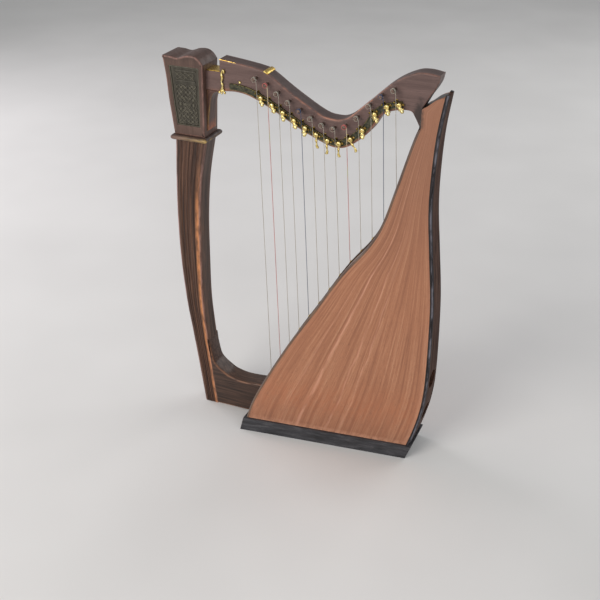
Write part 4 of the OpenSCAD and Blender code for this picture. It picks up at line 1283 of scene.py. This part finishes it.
def bindings():
    path = resample(above(box_back, 0), 110)
    r = 2.6
    section = [(SIDE_T, 0.2), (r + 0.4, -0.15), (r, 0)]
    section += [(r - r * math.sin(math.radians(a)), r - r * math.cos(math.radians(a)))
                for a in range(15, 91, 15)]
    section += [(-0.15, r + 0.5), (0, BACK_T - 0.4), (0.3, BACK_T), (SIDE_T, BACK_T)]
    # Peaks at the middle of the rounding: a painted silver highlight line.
    wear_and_highlight = [0, 0, 0, 0.1, 0.3, 0.7, 1, 0.7, 0.3, 0.1, 0, 0, 0]
    for side, name in ((-1, "edge_binding_left"), (1, "edge_binding_right")):
        shape = Shape()
        last = len(path) - 1
        rings, grains = [], []
        along = 0
        for i, p in enumerate(path):
            along += (p - path[i - 1]).length if i else 0
            into = left_of(path[min(i + 1, last)] - path[max(i - 1, 0)])
            rings.append([])
            grains.append([])
            for across, deep in section:
                q = p + into * deep
                y = side * (box_half(q[0], q[1]) - across)
                rings[-1].append((q[0], y, q[1]))
                grains[-1].append((along, across, deep))
        shape.rings(rings, grains, [[(w * 0.8, 0, 0) for w in wear_and_highlight]] * len(rings))
        shape.object(name + "_round", BINDING, "binding_wood", replaces=[name], smooth=50)


def dress_cad():
    """Materials, and softened edges, for the CAD nodes whose shape is right."""
    looks = {"joint_dowels": INNER_WOOD, "back_panel": BACK_WOOD, "top_block": TOP_WOOD,
             "base_board": BASE_WOOD, "base_plinth": PLINTH_WOOD, "cross_braces": INNER_WOOD,
             "outer_string_rib": RIB_WOOD, "inner_string_rib": INNER_WOOD, "string_eyelets": BRASS,
             "string_knots": KNOT}
    for name, material in looks.items():
        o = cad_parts[name]
        o.data.materials.clear()
        o.data.materials.append(material)
    for name, r in (("base_plinth", 1.2), ("top_block", 0.8)):
        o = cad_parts[name]
        bevel = o.modifiers.new("soft_edges", "BEVEL")
        bevel.width = r * MM
        bevel.segments = 3
        bevel.limit_method = "ANGLE"
        bevel.angle_limit = math.radians(40)
        weigh = o.modifiers.new("even_normals", "WEIGHTED_NORMAL")
        weigh.keep_sharp = False


KNOT = cord("string_knot", (214, 206, 186), (226, 220, 204))


# ---------------------------------------------------------------- stage, light, camera
def stage():
    bpy.ops.mesh.primitive_circle_add(vertices=96, radius=14, fill_type="NGON", location=(0, 0, 0))
    floor = bpy.context.object
    floor.name = "floor"
    p = Paint("floor_paint", rough=0.7, specular=0.2)
    spot = p.node("ShaderNodeTexCoord").outputs["Object"]
    p.colour(p.ramp(p.noise(spot, (3, 3, 3), 2), (0.3, rgb(222, 221, 219)), (0.7, rgb(228, 227, 225))))
    floor.data.materials.append(p.material)
    scene = bpy.context.scene
    scene.world = bpy.data.worlds.new("studio")
    scene.world.use_nodes = True
    sky = scene.world.node_tree.nodes["Background"]
    sky.inputs["Color"].default_value = (0.93, 0.94, 0.96, 1)
    sky.inputs["Strength"].default_value = 0.4
    aim = Vector((0.0, 0.0, 0.33))
    for name, where, size, power, tint in (("key", (-1.0, -2.5, 1.5), 1.6, 48, (1, 0.96, 0.92)),
                                           ("fill", (1.6, -2.2, 0.9), 2.2, 14, (0.95, 0.97, 1)),
                                           ("rim", (-2.2, 0.5, 1.2), 1.2, 20, (1, 0.96, 1)),
                                           ("back", (1.4, 2.2, 1.6), 1.8, 20, (1, 1, 1))):
        lamp = bpy.data.lights.new(name, "AREA")
        lamp.size = size
        lamp.energy = power
        lamp.color = tint
        o = bpy.data.objects.new(name, lamp)
        o.location = where
        o.rotation_euler = (aim - Vector(where)).to_track_quat("-Z", "Y").to_euler()
        scene.collection.objects.link(o)
    camera = bpy.data.cameras.new("camera")
    camera.lens = 60
    camera.sensor_width = 36
    camera.clip_start = 0.01
    camera.clip_end = 60
    o = bpy.data.objects.new("camera", camera)
    o.location = (0.55617, -1.29656, 1.02728)
    o.rotation_euler = (math.radians(60.7), 0, math.radians(23.5))
    scene.collection.objects.link(o)
    scene.camera = o
    scene.view_settings.view_transform = "Standard"


pillar()
knee()
collar()
head()
knot_panel(-1, "knotwork_left", "knot_panel_left")
knot_panel(1, "knotwork_right", "knot_panel_right")
neck()
bracket()
neck_metal()
strings()
windings_and_pins()
rail()
brackets_and_screws()
levers()
side_panel(-1, "side_left", "side_panel_left")
side_panel(1, "side_right", "side_panel_right")
soundboard()
bindings()
dress_cad()
stage()
